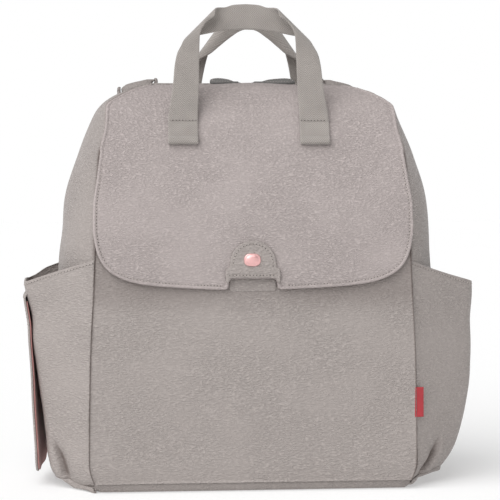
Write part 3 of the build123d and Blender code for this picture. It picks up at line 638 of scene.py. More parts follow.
# ---------------------------------------------------------------- stitching
class Stitching:
    """Collects stitches and their needle holes, drawn as small dark discs of painted shade, one object for each
    body they ride on.
    """

    def __init__(self):
        self.runs = {}

    def add(self, body, path, normals, pitch=3.0, length=2.15, radius=0.34, lift=0.12):
        """Row of stitches along a path of points, with the surface's outward normals."""
        path, normals = np.asarray(path, float), unit(np.asarray(normals, float))
        run = run_length(path)
        if run[-1] < pitch:
            return
        count = max(1, int(run[-1] / pitch))
        pitch = run[-1] / count
        points, faces, holes = self.runs.setdefault(body, ([], [], []))
        sides, shares = 6, np.array([-0.5, -0.38, -0.15, 0.15, 0.38, 0.5])
        thickness = np.array([0.35, 0.85, 1.0, 1.0, 0.85, 0.35])
        arch = np.array([-0.9, -0.2, 0.25, 0.25, -0.2, -0.9])
        take = lambda s, values: np.array([np.interp(s, run, values[:, k]) for k in range(3)])
        for k in range(count):
            middle = (k + 0.5) * pitch
            n = unit(take(middle, normals))
            along = unit(take(middle + 0.4, path) - take(middle - 0.4, path))
            side = unit(np.cross(n, along))
            base = len(points)
            for share, thick, rise in zip(shares, thickness, arch):
                centre = take(middle + share * length, path) + n * (lift + rise * radius)
                for q in range(sides):
                    angle = 2 * math.pi * q / sides
                    spoke = math.cos(angle) * side + 0.8 * math.sin(angle) * n
                    points.append(centre + radius * thick * spoke)
            faces += grid_faces(len(shares), sides, base, wrap=True)
            faces.append(tuple(base + q for q in reversed(range(sides))))
            faces.append(tuple(base + (len(shares) - 1) * sides + q for q in range(sides)))
            # needle hole: a small dark bicone in painted shade where the thread goes in
            hole = take(k * pitch, path) + n * 0.02
            start = len(points)
            ring = [hole + 0.42 * (math.cos(t) * side + 1.1 * math.sin(t) * along) for t in
                    np.linspace(0, 2 * math.pi, 7)[:-1]]
            points.extend([*ring, hole + n * 0.10, hole - n * 0.25])
            for q in range(6):
                holes.append(len(faces))
                faces.append((start + q, start + (q + 1) % 6, start + 6))
                holes.append(len(faces))
                faces.append((start + (q + 1) % 6, start + q, start + 7))

    def build(self):
        for body, (points, faces, holes) in self.runs.items():
            obj = make_object(f"stitching_{body}", points, faces, [thread, painted_hole_shade], body)
            index = np.zeros(len(obj.data.polygons), int)
            index[holes] = 1
            obj.data.polygons.foreach_set("material_index", index)


stitching = Stitching()


def stitch_on(body, surface, flat, lift=0.0, **how):
    """Stitches along a line in a surface's own two coordinates."""
    flat = np.asarray(flat, float)
    height = np.zeros(len(flat)) + lift
    points = surface(flat[:, 0], flat[:, 1], height)
    normals = surface(flat[:, 0], flat[:, 1], height + 1.0) - points
    stitching.add(body, points, normals, **how)


def mirrored(points):
    return np.asarray(points) * np.array([-1.0, 1.0, 1.0])


# ---------------------------------------------------------------- body leather
def build_front_panel():
    grid, chords = panel_grid(front_at, chord_at(BASE_SEAM_Z), chord_at(POCKET_MOUTH_Z), (90, 254), (96, 272))
    x, z = grid[..., 0], grid[..., 2]
    slump = 1.6 * bump_at(z, 40, 38) * (1 - (x / station(SEAM, chords)[:, None]) ** 2)
    corners = -1.8 * bump_at(np.abs(x), 128, 26) * bump_at(z, 18, 30)
    # Painted shadow: the colour darkens on the panel just below the flap's edge, where the flap casts its
    # shadow.
    painted_flap_shadow = 0.34 * smooth((z - 146) / 26) * (0.6 + 0.4 * smooth((np.abs(x) - 24) / 30))
    obj, *_ = leather_panel("front_pocket_leather", grid, -1, SEAM_ROLL, 0.7, 1.0, extra=slump + corners,
                            shade=painted_flap_shadow)
    stands_for(obj, "grey_leather", "front_pocket_panel")


def build_gusset(side):
    name, low = SIDE_NAMES[side], chord_at(BASE_SEAM_Z)
    shares = clustered(64, GUSSET_RUN)
    grid = np.array([gusset_at(shares, c) for c in low + (CHORD[-1] - low) * clustered(120, 395)])
    if side < 0:
        grid = mirrored(grid)
    z, shares = grid[..., 2], shares[None, :]
    across = np.minimum(shares, 1 - shares) * GUSSET_RUN
    folds = 0.9 * np.sin(z / 13.0 + 3 * shares + side) * bump_at(z, 205, 60) * smooth(across / 40)
    # Painted shadow: the colour darkens in a band along the gusset's front seam behind the flap's edge, where
    # the flap shades it.
    painted_flap_shadow = smooth((z - 186) / 20) * smooth((300 - z) / 16) * np.exp(-((shares * GUSSET_RUN / 3.6) ** 2))
    obj, *_ = leather_panel(f"{name}_gusset_leather", grid, side, SEAM_ROLL, 1.3, 4.0 + side, extra=folds,
                            shade=0.85 * painted_flap_shadow)
    stands_for(obj, "grey_leather", f"{name}_gusset")


def flap_stand(chord):
    """How far the outer face of the upper front and flap stands out from the body."""
    z = station(Z, np.minimum(chord, CHORD[-1]))
    return pchip([100, FLAP_BOTTOM_Z, 215, POCKET_MOUTH_Z, 283, HINGE_Z + 4, 400],
                 [6.4, 6.4, 6.3, 3.9, 1.5, 0.0, 0.0], z)


FLAP_BOTTOM_Z = 172.0
NOTCH_HALF, NOTCH_TOP_Z, NOTCH_LOW_Z = 20.5, 182.0, 174.2
CLOSURE_SHIFT = -1.6     # the closure sits a little to the left of the middle, seen from the front
FLAP_STITCH = 3.2        # distance of the stitching from the flap's edge
FLAP_SIDE = [(129.6, 289.5), (132.6, 266.0), (135.9, 243.0), (136.2, 226.0), (133.8, 207.5), (127.0, 192.8),
             (114.4, 183.2), (99.0, 178.2), (77.0, 175.4), (48.0, 173.6), (23.5, 172.6)]


def spline(points, step=1.5):
    """Smooth curve through given points."""
    points = np.asarray(points, float)
    run = run_length(points)
    at = np.linspace(0, run[-1], max(8, int(run[-1] / step)))
    return np.stack([pchip(run, points[:, k], at) for k in range(points.shape[1])], axis=1)


def flap_side():
    """Right free edge of the flap, from the hinge to the notch, as (x, chord)."""
    side = spline(FLAP_SIDE)
    return np.stack([side[:, 0], chord_at(side[:, 1])], axis=1)


def closure_shifted(outline):
    """Outline with its middle moved sideways with the closure."""
    return outline + np.outer(smooth((60 - np.abs(outline[:, 0])) / 34), [CLOSURE_SHIFT, 0])


def on_chords(points):
    """Points given as (x, z) on the front, turned to (x, chord)."""
    return [(x, chord_at(z)) for x, z in points]


def upper_surface(x, chord, height):
    return front_at(x, chord, flap_stand(chord) + height)


def build_upper_front_and_flap():
    seam_chords = np.linspace(CHORD_TOP, chord_at(HINGE_Z + 0.4), 90)
    right = [(station(SEAM, c) - SEAM_GAP, c) for c in seam_chords]
    notch = on_chords([(NOTCH_HALF + 0.4, NOTCH_LOW_Z), (NOTCH_HALF, 177.0), (NOTCH_HALF - 0.5, 179.8),
                       (NOTCH_HALF - 2.5, NOTCH_TOP_Z)])
    free = flap_side()
    outline = even(closure_shifted(two_sided(np.vstack([right, free, notch]))), 1.6, closed=True)

    def shape(x, c, d):
        z = station(Z, c)
        below = smooth((HINGE_Z - z) / 30)
        points = np.stack([x, 0 * x, c], axis=1)
        soft = 0.9 * ripple(points, 60.0, 21.0) + 0.35 * ripple(points, 22.0, 5.0)
        ease = 1 - smooth((z - 335) / 10)
        seam_pull = (1 - below) * 0.5 * ripple(points, 7.0, 2.0) * np.exp(-d / 7.0)
        lift = 1.0 * bump_at(np.abs(x), 95, 34) * bump_at(z, 188, 14)
        crown = 2.0 * bump_at(x, 4, 30) * smooth((z - 336) / 8)
        return (soft * smooth(d / 8) + seam_pull * smooth(d / 2) + lift) * ease + crown

    obj = outline_panel("upper_front_and_flap", outline, upper_surface, 1.9, leather_flap_painted_light, None, step=3.2,
                        roll=1.0, bead=0.45, groove=FLAP_STITCH, shape=shape, painted_edge_highlight=0.45)
    along = unit(np.gradient(free, axis=0))
    run = free + np.stack([along[:, 1], -along[:, 0]], axis=1) * FLAP_STITCH
    run = run[(run[:, 0] > 25.5) & (run[:, 1] < chord_at(HINGE_Z - 8))]
    lift = shape(run[:, 0], run[:, 1], np.full(len(run), FLAP_STITCH)) - 0.3
    for side in (1, -1):
        stitch_on("front_flap", upper_surface, run * [side, 1], lift=lift, pitch=2.7, length=1.75, radius=0.36)
    stands_for(obj, "grey_leather", "top_front_panel", "flap")
    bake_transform(obj)


def build_flap_lining():
    notch = on_chords([(NOTCH_HALF + 1.4, NOTCH_LOW_Z), (NOTCH_HALF + 1.4, NOTCH_TOP_Z + 1.4)])
    half = np.vstack([[(124.0, chord_at(HINGE_Z - 4))], flap_side()[3:] * [0.988, 1] + [0, 1.2], notch])
    outline = even(closure_shifted(two_sided(half)), 2.2, closed=True)
    surface = lambda x, c, h: upper_surface(x, c, h - 1.95)
    obj = outline_panel("flap_lining_cloth", outline, surface, 0.55, pink_cloth, "front_flap", step=5.0,
                        roll=0.25)
    stands_for(obj, "pink_lining", "flap_lining")


def patch_surface(x, chord, height):
    return front_at(x + CLOSURE_SHIFT, chord, flap_stand(chord) + 1.75 + height)


def build_closure():
    # domed patch with a straight bar across its foot
    r, centre = 19.7, 194.2
    arc = lambda radius, turns: [(radius * math.cos(t), centre + radius * math.sin(t)) for t in turns]
    bar_top, bar_low = 190.2, NOTCH_TOP_Z + 0.2
    feet = [(-r - 0.2, bar_top + 1.4), (-22.6, bar_top), (-23.4, 185.6), (-22.9, 178.8), (-20.9, 178.4),
            (-19.2, bar_low - 0.2), (-15.5, bar_low + 0.4)]
    feet += [(-x, z) for x, z in reversed(feet)]
    outline = even(on_chords(arc(r, np.linspace(0, math.pi, 30)) + feet), 0.9, closed=True)

    def shape(x, c, d):
        bar = 0.75 * smooth((bar_top + 1.2 - station(Z, c)) / 1.6)
        return bar + 0.35 * smooth(d / 6) + 0.08 * ripple(np.stack([x, 0 * x, c], axis=1), 6.0, 8.0)

    obj = outline_panel("closure_patch_leather", outline, patch_surface, 1.75, leather, "front_flap", step=1.6,
                        roll=0.8, bead=0.1, shape=shape)
    stands_for(obj, "grey_leather", "closure_patch")
    foot = [(x, 185.0) for x in np.linspace(-20, 20, 20)]
    for line, lift in ((arc(r - 2.9, np.linspace(-0.1, math.pi + 0.1, 50)), 0.25), (foot, 1.0)):
        stitch_on("front_flap", patch_surface, on_chords(line), lift=lift, pitch=2.7, length=1.9, radius=0.3)

    # stud: a low oval dome with a turned rim
    stud, half_width, half_height, turns = chord_at(197.8), 7.0, 5.4, 56
    base = front_at(-2.4, stud, flap_stand(stud) + 1.95)
    outward = unit(front_at(0.0, stud, 10.0) - front_at(0.0, stud, 0.0))
    up = unit(np.cross([1.0, 0, 0], outward))
    up = up if up[2] > 0 else -up
    profile = [(0.92, -0.6), (1.0, 0.0), (1.01, 0.55), (0.985, 1.0), (0.93, 1.32), (0.86, 1.42), (0.80, 1.38),
               (0.76, 1.42), (0.66, 1.82), (0.5, 2.18), (0.32, 2.4), (0.14, 2.5), (0.02, 2.52)]
    angle = np.linspace(0, 2 * np.pi, turns, endpoint=False)
    square = (np.abs(np.cos(angle)) ** 2.6 + np.abs(np.sin(angle)) ** 2.6) ** (-1 / 2.6)
    wide = np.outer(np.cos(angle) * square, [1, 0, 0]) * half_width
    tall = np.outer(np.sin(angle) * square, up) * half_height
    rings = np.array([base + wide * k + tall * k + outward * h for k, h in profile])
    stands_for(ring_stack("closure_stud_cap", rings, rose_gold, "front_flap"), "rose_gold", "closure_stud")

    # the tab on the bag, under the stud
    tab_surface = lambda x, c, h: front_at(x + CLOSURE_SHIFT, c, 2.7 + h)
    half, low, high = 20.2, chord_at(171.0), chord_at(208.5)
    outline = rounded([(-half, high), (-half, low), (half, low), (half, high)], [4, 3, 3, 4], 1.0)
    obj = outline_panel("catch_tab_leather", outline, tab_surface, 2.4, leather, "bag", step=2.4, roll=0.9,
                        bead=0.3)
    stands_for(obj, "grey_leather", "catch_tab")
    stitch_on("bag", tab_surface, on_chords([(x, 202.0) for x in np.linspace(-16, 16, 16)]))


def build_back():
    """Back panel with padded channels, and the narrow panel over it up to the zip."""
    low, seam = chord_at(BASE_SEAM_Z), chord_at(BACK_SEAM_Z)
    columns, rows = (96, 270), (118.0, 206.0)
    grid, _ = panel_grid(back_at, low, seam, (110, 320), columns)
    x, z = grid[..., 0], grid[..., 2]
    channel = np.minimum.reduce([np.abs(z - r) for r in rows])
    pad = smooth((104 - np.abs(x)) / 14) * smooth((z - 34) / 14) * smooth((298 - z) / 14)
    puff = 4.2 * pad * (1 - np.exp(-(channel / 7.5) ** 1.5))
    obj, *_ = leather_panel("back_leather", grid, 1, 1.5, 0.5, 7.0, extra=puff)
    stands_for(obj, "grey_leather", "back_panel", "back_foam_pad")
    for r in rows:
        stitch_on("bag", back_at, on_chords([(a, r) for a in np.linspace(-96, 96, 120)]), lift=0.2)
    frame_line = rounded(on_chords([(-104, 36), (104, 36), (104, 296), (-104, 296)]), 16, 2.0)
    stitch_on("bag", back_at, np.vstack([frame_line, frame_line[:1]]), lift=0.1)
    grid, _ = panel_grid(back_at, seam, CHORD_TOP, (34, 62), columns)
    obj, *_ = leather_panel("top_back_leather", grid, 1, 1.2, 0.4, 9.0, painted_shade="t")
    stands_for(obj, "grey_leather", "top_back_panel")


def ring_at(chord, inset):
    """Closed plan outline of the body at a chord, moved in towards the middle by inset."""
    seam, bulge, front_y, back_y, bow, z = (station(k, chord) for k in (SEAM, BULGE, FRONT, BACK, BOW, Z))
    along, turn = np.linspace(-1, 1, 60, endpoint=False), np.linspace(0, 1, 34, endpoint=False)
    front = np.stack([along * seam, front_y - bow * (1 - along**2)], axis=1)
    side = arc_through((seam, front_y), (bulge, (front_y + back_y) / 2), (seam, back_y), turn)
    right = np.stack(side, axis=1)
    back = np.stack([-along * seam, np.full(60, float(back_y))], axis=1)
    left = np.stack([-right[:, 0], (front_y + back_y) - right[:, 1]], axis=1)
    ring = np.vstack([front, right, back, left])
    ring = ring * (1 - inset / np.maximum(np.linalg.norm(ring, axis=1, keepdims=True), 1))
    return np.column_stack([ring, np.full(len(ring), float(z))])


def build_base():
    """Base panel: flat underneath, with its edge turned up to the seam."""
    levels = [(BASE_SEAM_Z - 0.4, 0.9), (7.2, 0.2), (5.6, 0.0), (3.8, 0.0), (2.2, 0.2), (1.0, 0.4), (0.3, 0.9)]
    rings = [ring_at(chord_at(z), inset) for z, inset in levels]
    flat = ring_at(chord_at(0.15), 0.0)
    shares = (0.985, 0.96, 0.92, 0.86, 0.76, 0.62, 0.45, 0.28, 0.12, 0.01)
    rings += [flat * [share, share, 0] for share in shares]
    outer = np.array(rings)
    inner = outer.copy()
    inner[..., :2] *= 0.986
    inner[..., 2] = np.maximum(outer[..., 2] - 0.6, 2.0)
    inner[len(levels) - 2:, :, 2] = 2.0
    inner[:3, :, 2] = outer[:3, :, 2]
    obj = shell("base_leather", outer[::-1], inner[::-1], leather, "bag", wrap=True)
    stands_for(obj, "grey_leather", "base_panel")


def build_front_wall():
    """Rear wall of the front pocket."""
    low, high = chord_at(BASE_SEAM_Z + 1), chord_at(HINGE_Z - 2.2)
    columns = 2 * clustered(50, 270) - 1
    chords = low + (high - low) * clustered(50, 280)
    z = station(Z, chords)
    depth = pchip([0, POCKET_MOUTH_Z - 6, HINGE_Z - 2, 400], [14.0, 14.0, 3.6, 3.6], z)
    trim = pchip([0, 250, 290], [-2, -2, 4.5], z)
    x = columns[None, :] * (station(SEAM, chords) - trim)[:, None]
    grid = front_at(x, np.repeat(chords[:, None], x.shape[1], axis=1), -depth[:, None])
    obj, *_ = leather_panel("front_pocket_back_wall", grid, -1, 0.4, 0.4, 2.0, thick=1.0, material=pink_cloth)
    stands_for(obj, "grey_leather", "front_wall")


def build_lining():
    levels = np.linspace(14, 334, 40)
    outer = np.array([ring_at(chord_at(z), 12.0 + 6 * smooth((z - 300) / 30)) for z in levels])
    outer[..., 1] = np.clip(outer[..., 1], outer[..., 1].min(axis=1, keepdims=True) + 9.0, None)
    inner = outer.copy()
    inner[..., :2] *= 0.992
    obj = shell("bag_lining", outer, inner, grey_cloth, "bag", wrap=True)
    stands_for(obj, "grey_lining", "lining")


# ---------------------------------------------------------------- side pockets
POCKET_RIGHT = [(3, 157), (15, 170.5), (37, 183.5), (64, 190), (100, 194), (150, 195.5), (170, 196), (200, 197)]
POCKET_LEFT = [(3, 160.5), (6, 165), (9, 168.8), (18, 172.6), (29, 174.4), (44, 177.2), (64, 179.7),
               (85, 182.6), (109, 185.6), (127, 188), (150, 190.5), (170, 194.5), (200, 199)]
POCKET_BOTTOM_Z, POCKET_TOP_Z = 3.0, 196.0
# The gathered tuck at the foot of each pocket's front face, as (z, x).
TUCK_LEFT = [(3, 155.5), (8, 158.6), (13, 161.4), (24, 164.4), (34, 168.2), (50, 173.5)]
TUCK_RIGHT = [(3, 141), (8, 144.5), (14, 150), (24, 157.5), (36, 161.5), (50, 163)]


def soft_curve(points, rounds=3):
    """Corner-cut polyline that keeps its ends."""
    for _ in range(rounds):
        cut = [points[0]]
        for a, b in zip(points, points[1:]):
            cut += [0.75 * a + 0.25 * b, 0.25 * a + 0.75 * b]
        points = cut + [points[-1]]
    return points


def pocket_plan(stations, z, shares):
    """Plan outline of a pocket on the right at height z: front seam, face, corner, wall, and back again."""
    c = chord_at(z)
    seam, front, back = (float(station(k, c)) for k in (SEAM, FRONT, BACK))
    wall = float(pchip(*zip(*stations), z))
    shoulder, flat, turn = wall - 8.0, 38.0, 52.0
    half = [(seam, front), (shoulder, -turn), (shoulder + 5.8, -flat - 8.7), (wall, -flat), (wall + 0.6, 0.0)]
    other = [(wall, flat), (shoulder + 5.8, flat + 8.7), (shoulder, turn), (seam, back)]
    points = np.array(soft_curve([np.array(p, float) for p in half + other]))
    return resampled(points, shares * run_length(points)[-1])


def build_pocket(side):
    stations, tuck_line = (POCKET_RIGHT, TUCK_RIGHT) if side > 0 else (POCKET_LEFT, TUCK_LEFT)
    name, shares, rows = SIDE_NAMES[side], clustered(116, 240), clustered(92, 180)
    columns = len(shares)
    table_z = np.linspace(POCKET_BOTTOM_Z, POCKET_TOP_Z, 60)
    table = np.array([pocket_plan(stations, z, shares) for z in table_z])

    def at(z, column):
        return [np.interp(z, table_z, table[:, column, k]) for k in (0, 1)]

    # height of the mouth and of the foot, column by column
    rim = np.zeros(columns)
    for c in range(columns):
        x, y = at(180.0, c)
        middle = math.sin(math.pi * min(1, max(0, (x - 133) / 60)))
        rise = 0.4 * middle if side < 0 else -1.0 * middle
        back_rise = 0.5 - 3.0 * smooth((x - 176) / 14) if side < 0 else -8.5
        rim[c] = 197.2 - (x - 133.0) * 22.0 / 65.0 + (rise if y < 0 else back_rise * smooth((y - 10) / 40))
        rim[c] += 1.6 if side < 0 else 0.3
    out_x = np.array([at(12.0, c)[0] for c in range(columns)])
    foot_z = 5.0 + 4.5 * smooth((out_x - 150) / 20) if side < 0 else 5.5 + 8.0 * smooth((out_x - 136) / 26)
    z = foot_z + rows[:, None] * (rim - foot_z)
    x, y = np.array([at(z[:, c], c) for c in range(columns)]).transpose(1, 2, 0)
    grid = np.stack([x, y, z], axis=-1)
    front = y < -30

    # the gathered tuck at the foot of the front face, and its softer twin at the back
    path = np.array(tuck_line, float)
    off = x - np.interp(z, path[:, 0], path[:, 1])
    strength = smooth((46 - z) / 20) * (0.35 + 0.65 * smooth((z - foot_z[None, :]) / 7))
    tuck = strength * (-4.4 * np.exp(-(off / np.where(off > 0, 1.6, 4.6)) ** 2) + 2.0 * bump_at(off, 6.0, 4.5)
                       + 1.4 * bump_at(off, -13, 7))
    tuck = tuck * np.where(np.abs(y) > 30, 1.0, 0.0) * np.where(front, 1.0, 0.6)
    ripples = 0.8 * np.sin(z / 9.0 + x / 14.0) * bump_at(z, 150, 26) * bump_at(np.abs(y), 45, 16)
    belly = (1.2 if side > 0 else 0.0) * bump_at(z, 92, 45) * (1 - np.abs(2 * shares[None, :] - 1) ** 4)
    mouth = -1.5 * bump_at(z, 176, 16) * bump_at(y, 0, 30) * (1 if side > 0 else 0.3)
    magnet = (0.0 if side > 0 else 1.3) * bump_at(z, 28, 15) * bump_at(y, 0, 17)
    if side < 0:
        grid = mirrored(grid)
    # Painted shade: the colour darkens along the tuck's fold line, where the fold lies in shade.
    painted_tuck_shade = 0.95 * strength * np.exp(-((off + 0.4) / 1.9) ** 2) * front
    obj, outer, n = leather_panel(f"{name}_pocket_leather", grid, side, 1.0, 0.9, 12.0 + side, edges="lrb",
                                  painted_shade="lrt", shade=painted_tuck_shade, extra=tuck + ripples + belly + mouth + magnet)
    stands_for(obj, "grey_leather", f"{name}_pocket")
    inset = range(4, columns - 4)
    hem = np.argmin(np.abs(edge_distances(outer)[3] - 3.4), axis=0)[inset]
    stitching.add("bag", outer[hem, inset], n[hem, inset])

    # foot band and floor of the pocket, drawn in to the bag's side
    ring = outer[0]
    target = gusset_at(np.linspace(0, 1, columns), chord_at(9.0)) * [side, 1, 1]
    low = ((0.8 + (foot_z - 2.2) * smooth((out_x - 157) / 10)) if side < 0
           else 3.0 + 6.4 * smooth((out_x - 130) / 30))
    fall = ((0.0, 0.0), (0.002, 0.1), (0.008, 0.45), (0.02, 0.75), (0.06, 0.93), (0.14, 1.0))
    under = np.array([ring * (1 - s) + target * s for s in [*(f[0] for f in fall), 0.4, 0.75, 1.0]])
    under[: len(fall), :, 2] = [ring[:, 2] + (low - ring[:, 2]) * f[1] for f in fall]
    under[0] += unit(target - ring) * 1.3
    under[0, :, 2] += 3.0
    under[len(fall):, :, 2] = [low + 0.1, low + 1.5, low + 4.0]
    away = grid_normals(under)
    away = away * np.where(away[3, :, 2].mean() > 0, -1.0, 1.0)
    floor = shell(f"{name}_pocket_floor", under, under - away * 1.4, leather, "bag")
    stands_for(floor, "grey_leather", f"{name}_pocket")


# ---------------------------------------------------------------- cover flap on the left pocket
WIPES_X, WIPES_Z, WIPES_HALF_Y, WIPES_LOW_Z = 195.8, 163.6, 45.0, 10.8
WIPES_TOP_Z = 170.0
WIPES_STITCH, LINING_HALF_Y = 3.1, 43.6


def wipes_surface(y, down, height):
    """Point on the cover flap: y across, down along it from its top edge, height outwards."""
    z = WIPES_TOP_Z - down
    hang = np.clip(WIPES_Z - z, 0, 200)
    over_magnet = 1.1 * smooth(hang / 20) * bump_at(hang, 30, 26)
    x = WIPES_X + 0.4 - 3.0 * smooth(hang / 26) - 0.074 * hang + over_magnet - 2.4 * smooth((6.4 - down) / 5)
    curl = 1.6 * bump_at(hang, 156, 26) + 1.1 * bump_at(hang, 142, 15) * bump_at(y, 3, 15)
    flare = -1.0 * (y / WIPES_HALF_Y) ** 2 - 3.4 * smooth(hang / 120) * y / WIPES_HALF_Y
    return np.stack([-(x + height + flare + curl), y + 0 * x, z], axis=-1)


def build_wipes_flap():
    drop = WIPES_TOP_Z - WIPES_LOW_Z
    box = lambda half, high, low: [(-half, high), (half, high), (half, low), (-half, low)]
    outline = rounded(box(WIPES_HALF_Y, 0.3, drop), [2.0, 2.0, 24.0, 24.0], 1.5)
    wave = lambda a, b, d: 0.6 * ripple(np.stack([a, b, 0 * a], axis=1), 40.0, 31.0)
    obj = outline_panel("wipes_flap_leather", outline, wipes_surface, 1.7, leather, None, step=3.4, roll=0.8,
                        bead=0.25, groove=WIPES_STITCH, shape=wave)
    stands_for(obj, "grey_leather", "wipes_flap", "wipes_flap_strip")
    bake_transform(obj)
    hanging = np.array([p for p in inner_ring(outline, WIPES_STITCH) if p[1] > 12])
    order = np.argsort(np.arctan2(hanging[:, 0], hanging[:, 1] - 20))
    stitch_on("wipes_cover", wipes_surface, hanging[order], lift=-0.2)
    for down in (3.0, 6.2):
        stitch_on("bag", wipes_surface, [(y, down) for y in np.linspace(-42, 42, 60)])
    inner = rounded(box(LINING_HALF_Y, 9.0, drop - 1.3), [2, 2, 23, 23], 2.0)
    under = lambda a, b, h: wipes_surface(a, b, h - 2.75)
    obj = outline_panel("wipes_flap_lining_cloth", inner, under, -0.9, pink_cloth, "wipes_cover", step=5.0,
                        roll=0.2, shape=wave)
    stands_for(obj, "pink_lining", "wipes_flap_lining")


# ---------------------------------------------------------------- webbing
HANDLE_PIVOT_Y, HANDLE_PIVOT_Z, BACK_SHIFT = 61.6, 319.0, 3.2
LEG_OUT, LEG_IN, HANDLE_THICK = 68.9, 43.6, 1.5
SEWN_LOW_Z, SEWN_TOP_Z = 296.0, 315.5
# Edges of the left half of each loop seen from the front, as (x, z): up the leg to the fold line, and on from
# there to the middle of the top. The fold line is given by a point on it and its slope in degrees.
HANDLES = {
    "front": dict(fold=(-45.2, 398.0), slope=45.0, wrap=26.0, shift=-3.0, lean=0.0,
                  outer=[(-68.9, 318), (-64.4, 346), (-62.8, 362.3), (-60.6, 372.7), (-56.6, 382.2)],
                  inner=[(-43.6, 318), (-42.1, 350), (-41.6, 372), (-41.0, 388), (-38.8, 395.4), (-35.2, 400.6),
                         (-27.5, 406.4)],
                  bar_low=[(-41.6, 389.2), (-33.5, 390.8), (-26.3, 392.3), (-13.9, 393.9), (0.0, 394.4)],
                  bar_top=[(-19.5, 413.6), (-10.5, 415.9), (0.0, 416.6)]),
    "back": dict(fold=(-41.9, 386.0), slope=54.0, wrap=24.0, shift=1.0, lean=4.9,
                 outer=[(-68.9, 318), (-66.0, 338), (-61.5, 352), (-55.5, 364)],
                 inner=[(-43.6, 318), (-42.0, 345), (-39.2, 362.8), (-35.6, 377.3), (-31.0, 390.0),
                        (-25.5, 400.5)],
                 bar_low=[(-35.8, 376.8), (-25.9, 384.6), (-17.1, 391.7), (-6.0, 398.6), (0.0, 400.0)],
                 bar_top=[(-16.0, 412.6), (-8.0, 416.6), (0.0, 418.0)]),
}


def build_handle(name):
    """One webbing handle: ends sewn down and turned under, legs, and a bar folded over at each shoulder."""
    plan = HANDLES[name]
    back = name == "back"
    sign = 1.0 if back else -1.0
    slope = math.radians(plan["slope"])
    along = np.array([math.cos(slope), math.sin(slope)])
    over = np.array([-math.sin(slope), math.cos(slope)])
    middle = np.array(plan["fold"]) @ over

    def unfolded(points):
        points = np.array(points, float)
        return points + 2 * (middle - points @ over)[:, None] * over

    edges = []
    for leg, bar in (("outer", "bar_low"), ("inner", "bar_top")):
        path = spline(np.vstack([plan[leg], unfolded(plan[bar])]), 0.5)
        edges.append(resampled(path, np.linspace(0, run_length(path)[-1], 96)))
    shares = np.concatenate([[0, 0.018], np.linspace(0.06, 0.94, 15), [0.982, 1]])
    flat = edges[0][:, None] * (1 - shares[None, :, None]) + edges[1][:, None] * shares[None, :, None]
    # wrap the strap round the fold line
    start = middle - plan["wrap"] / 2
    fine = np.linspace(0, 1, 200)
    turn = np.pi * smooth(fine)
    reach = np.concatenate([[0], np.cumsum(np.cos((turn[1:] + turn[:-1]) / 2))]) / 199 * plan["wrap"]
    depth = np.concatenate([[0], np.cumsum(np.sin((turn[1:] + turn[:-1]) / 2))]) / 199 * plan["wrap"]
    q, a = flat @ over, flat @ along
    share = np.clip((q - start) / plan["wrap"], 0, 1)
    past = np.maximum(q - start - plan["wrap"], 0)
    q_now = np.minimum(q, start) + np.interp(share, fine, reach) - past
    x = a * along[0] + q_now * over[0]
    z = a * along[1] + q_now * over[1]
    base = HANDLE_PIVOT_Y + (BACK_SHIFT if back else 0.0)
    inwards = np.interp(share, fine, depth) + math.tan(math.radians(9.0)) * (z - HANDLE_PIVOT_Z)
    loop = np.stack([x, sign * (base - inwards), z], axis=-1)

    # sewn end: down behind, round the turned end, and up in front to where the loop leaves
    body_at = back_at if back else front_at
    surface = lambda z, out: float(body_at(60.0, chord_at(z), out)[1])
    low = SEWN_LOW_Z + 1.9
    profile = [(surface(z, 0.8), z) for z in np.linspace(311, low, 10)]
    profile += [(surface(low, 2.6 - 1.9 * math.cos(t)), low - 1.9 * math.sin(t))
                for t in np.linspace(0.3, 2.9, 9)]
    profile += [(surface(z, 2.4 + 2.1 * smooth((low + 4.2 - z) / 1.6)), z)
                for z in np.linspace(low + 0.4, SEWN_TOP_Z, 26)]
    across = -LEG_OUT + shares * (LEG_OUT - LEG_IN)
    end = np.array([np.stack([across, 0 * shares + y, 0 * shares + z], axis=1) for y, z in profile])
    half = np.vstack([end, loop[1:]])
    grid = np.vstack([half, mirrored(half[:-1])[::-1]])
    # ease the rows where the loop leaves its sewn ends
    row = np.arange(1, len(grid) - 1)
    near_end = (np.abs(row - len(end)) < 9) | (np.abs(row - (len(grid) - 1 - len(end))) < 9)
    for _ in range(6):
        eased = (grid[:-2] + 2 * grid[1:-1] + grid[2:]) / 4
        grid[1:-1] = np.where(near_end[:, None, None], eased, grid[1:-1])
    grid[..., 0] += plan["shift"] + plan["lean"] * smooth((grid[..., 2] - 318) / 34)
    normal = grid_normals(grid)
    edge = np.array([0.35, 0.85, *[1.0] * 15, 0.85, 0.35]) * HANDLE_THICK / 2
    length = run_length(grid[:, len(shares) // 2])
    uv = np.stack(np.broadcast_arrays(shares[None, :] * 25.2, length[:, None]), axis=-1) * MM
    one, two = grid + normal * edge[None, :, None], grid - normal * edge[None, :, None]
    obj = shell(f"{name}_handle_webbing", one, two, webbing, None, uvs=uv)
    stands_for(obj, "webbing", f"{name}_handle", f"{name}_handle_ends")
    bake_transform(obj)
    for s in (-1, 1):
        points = body_at(s * np.linspace(45.2, 67.6, 20) + plan["shift"], chord_at(SEWN_TOP_Z - 1.2), 3.4)
        stitching.add("bag", points, np.tile([0.0, sign, 0.25], (len(points), 1)), pitch=2.6, length=1.8)


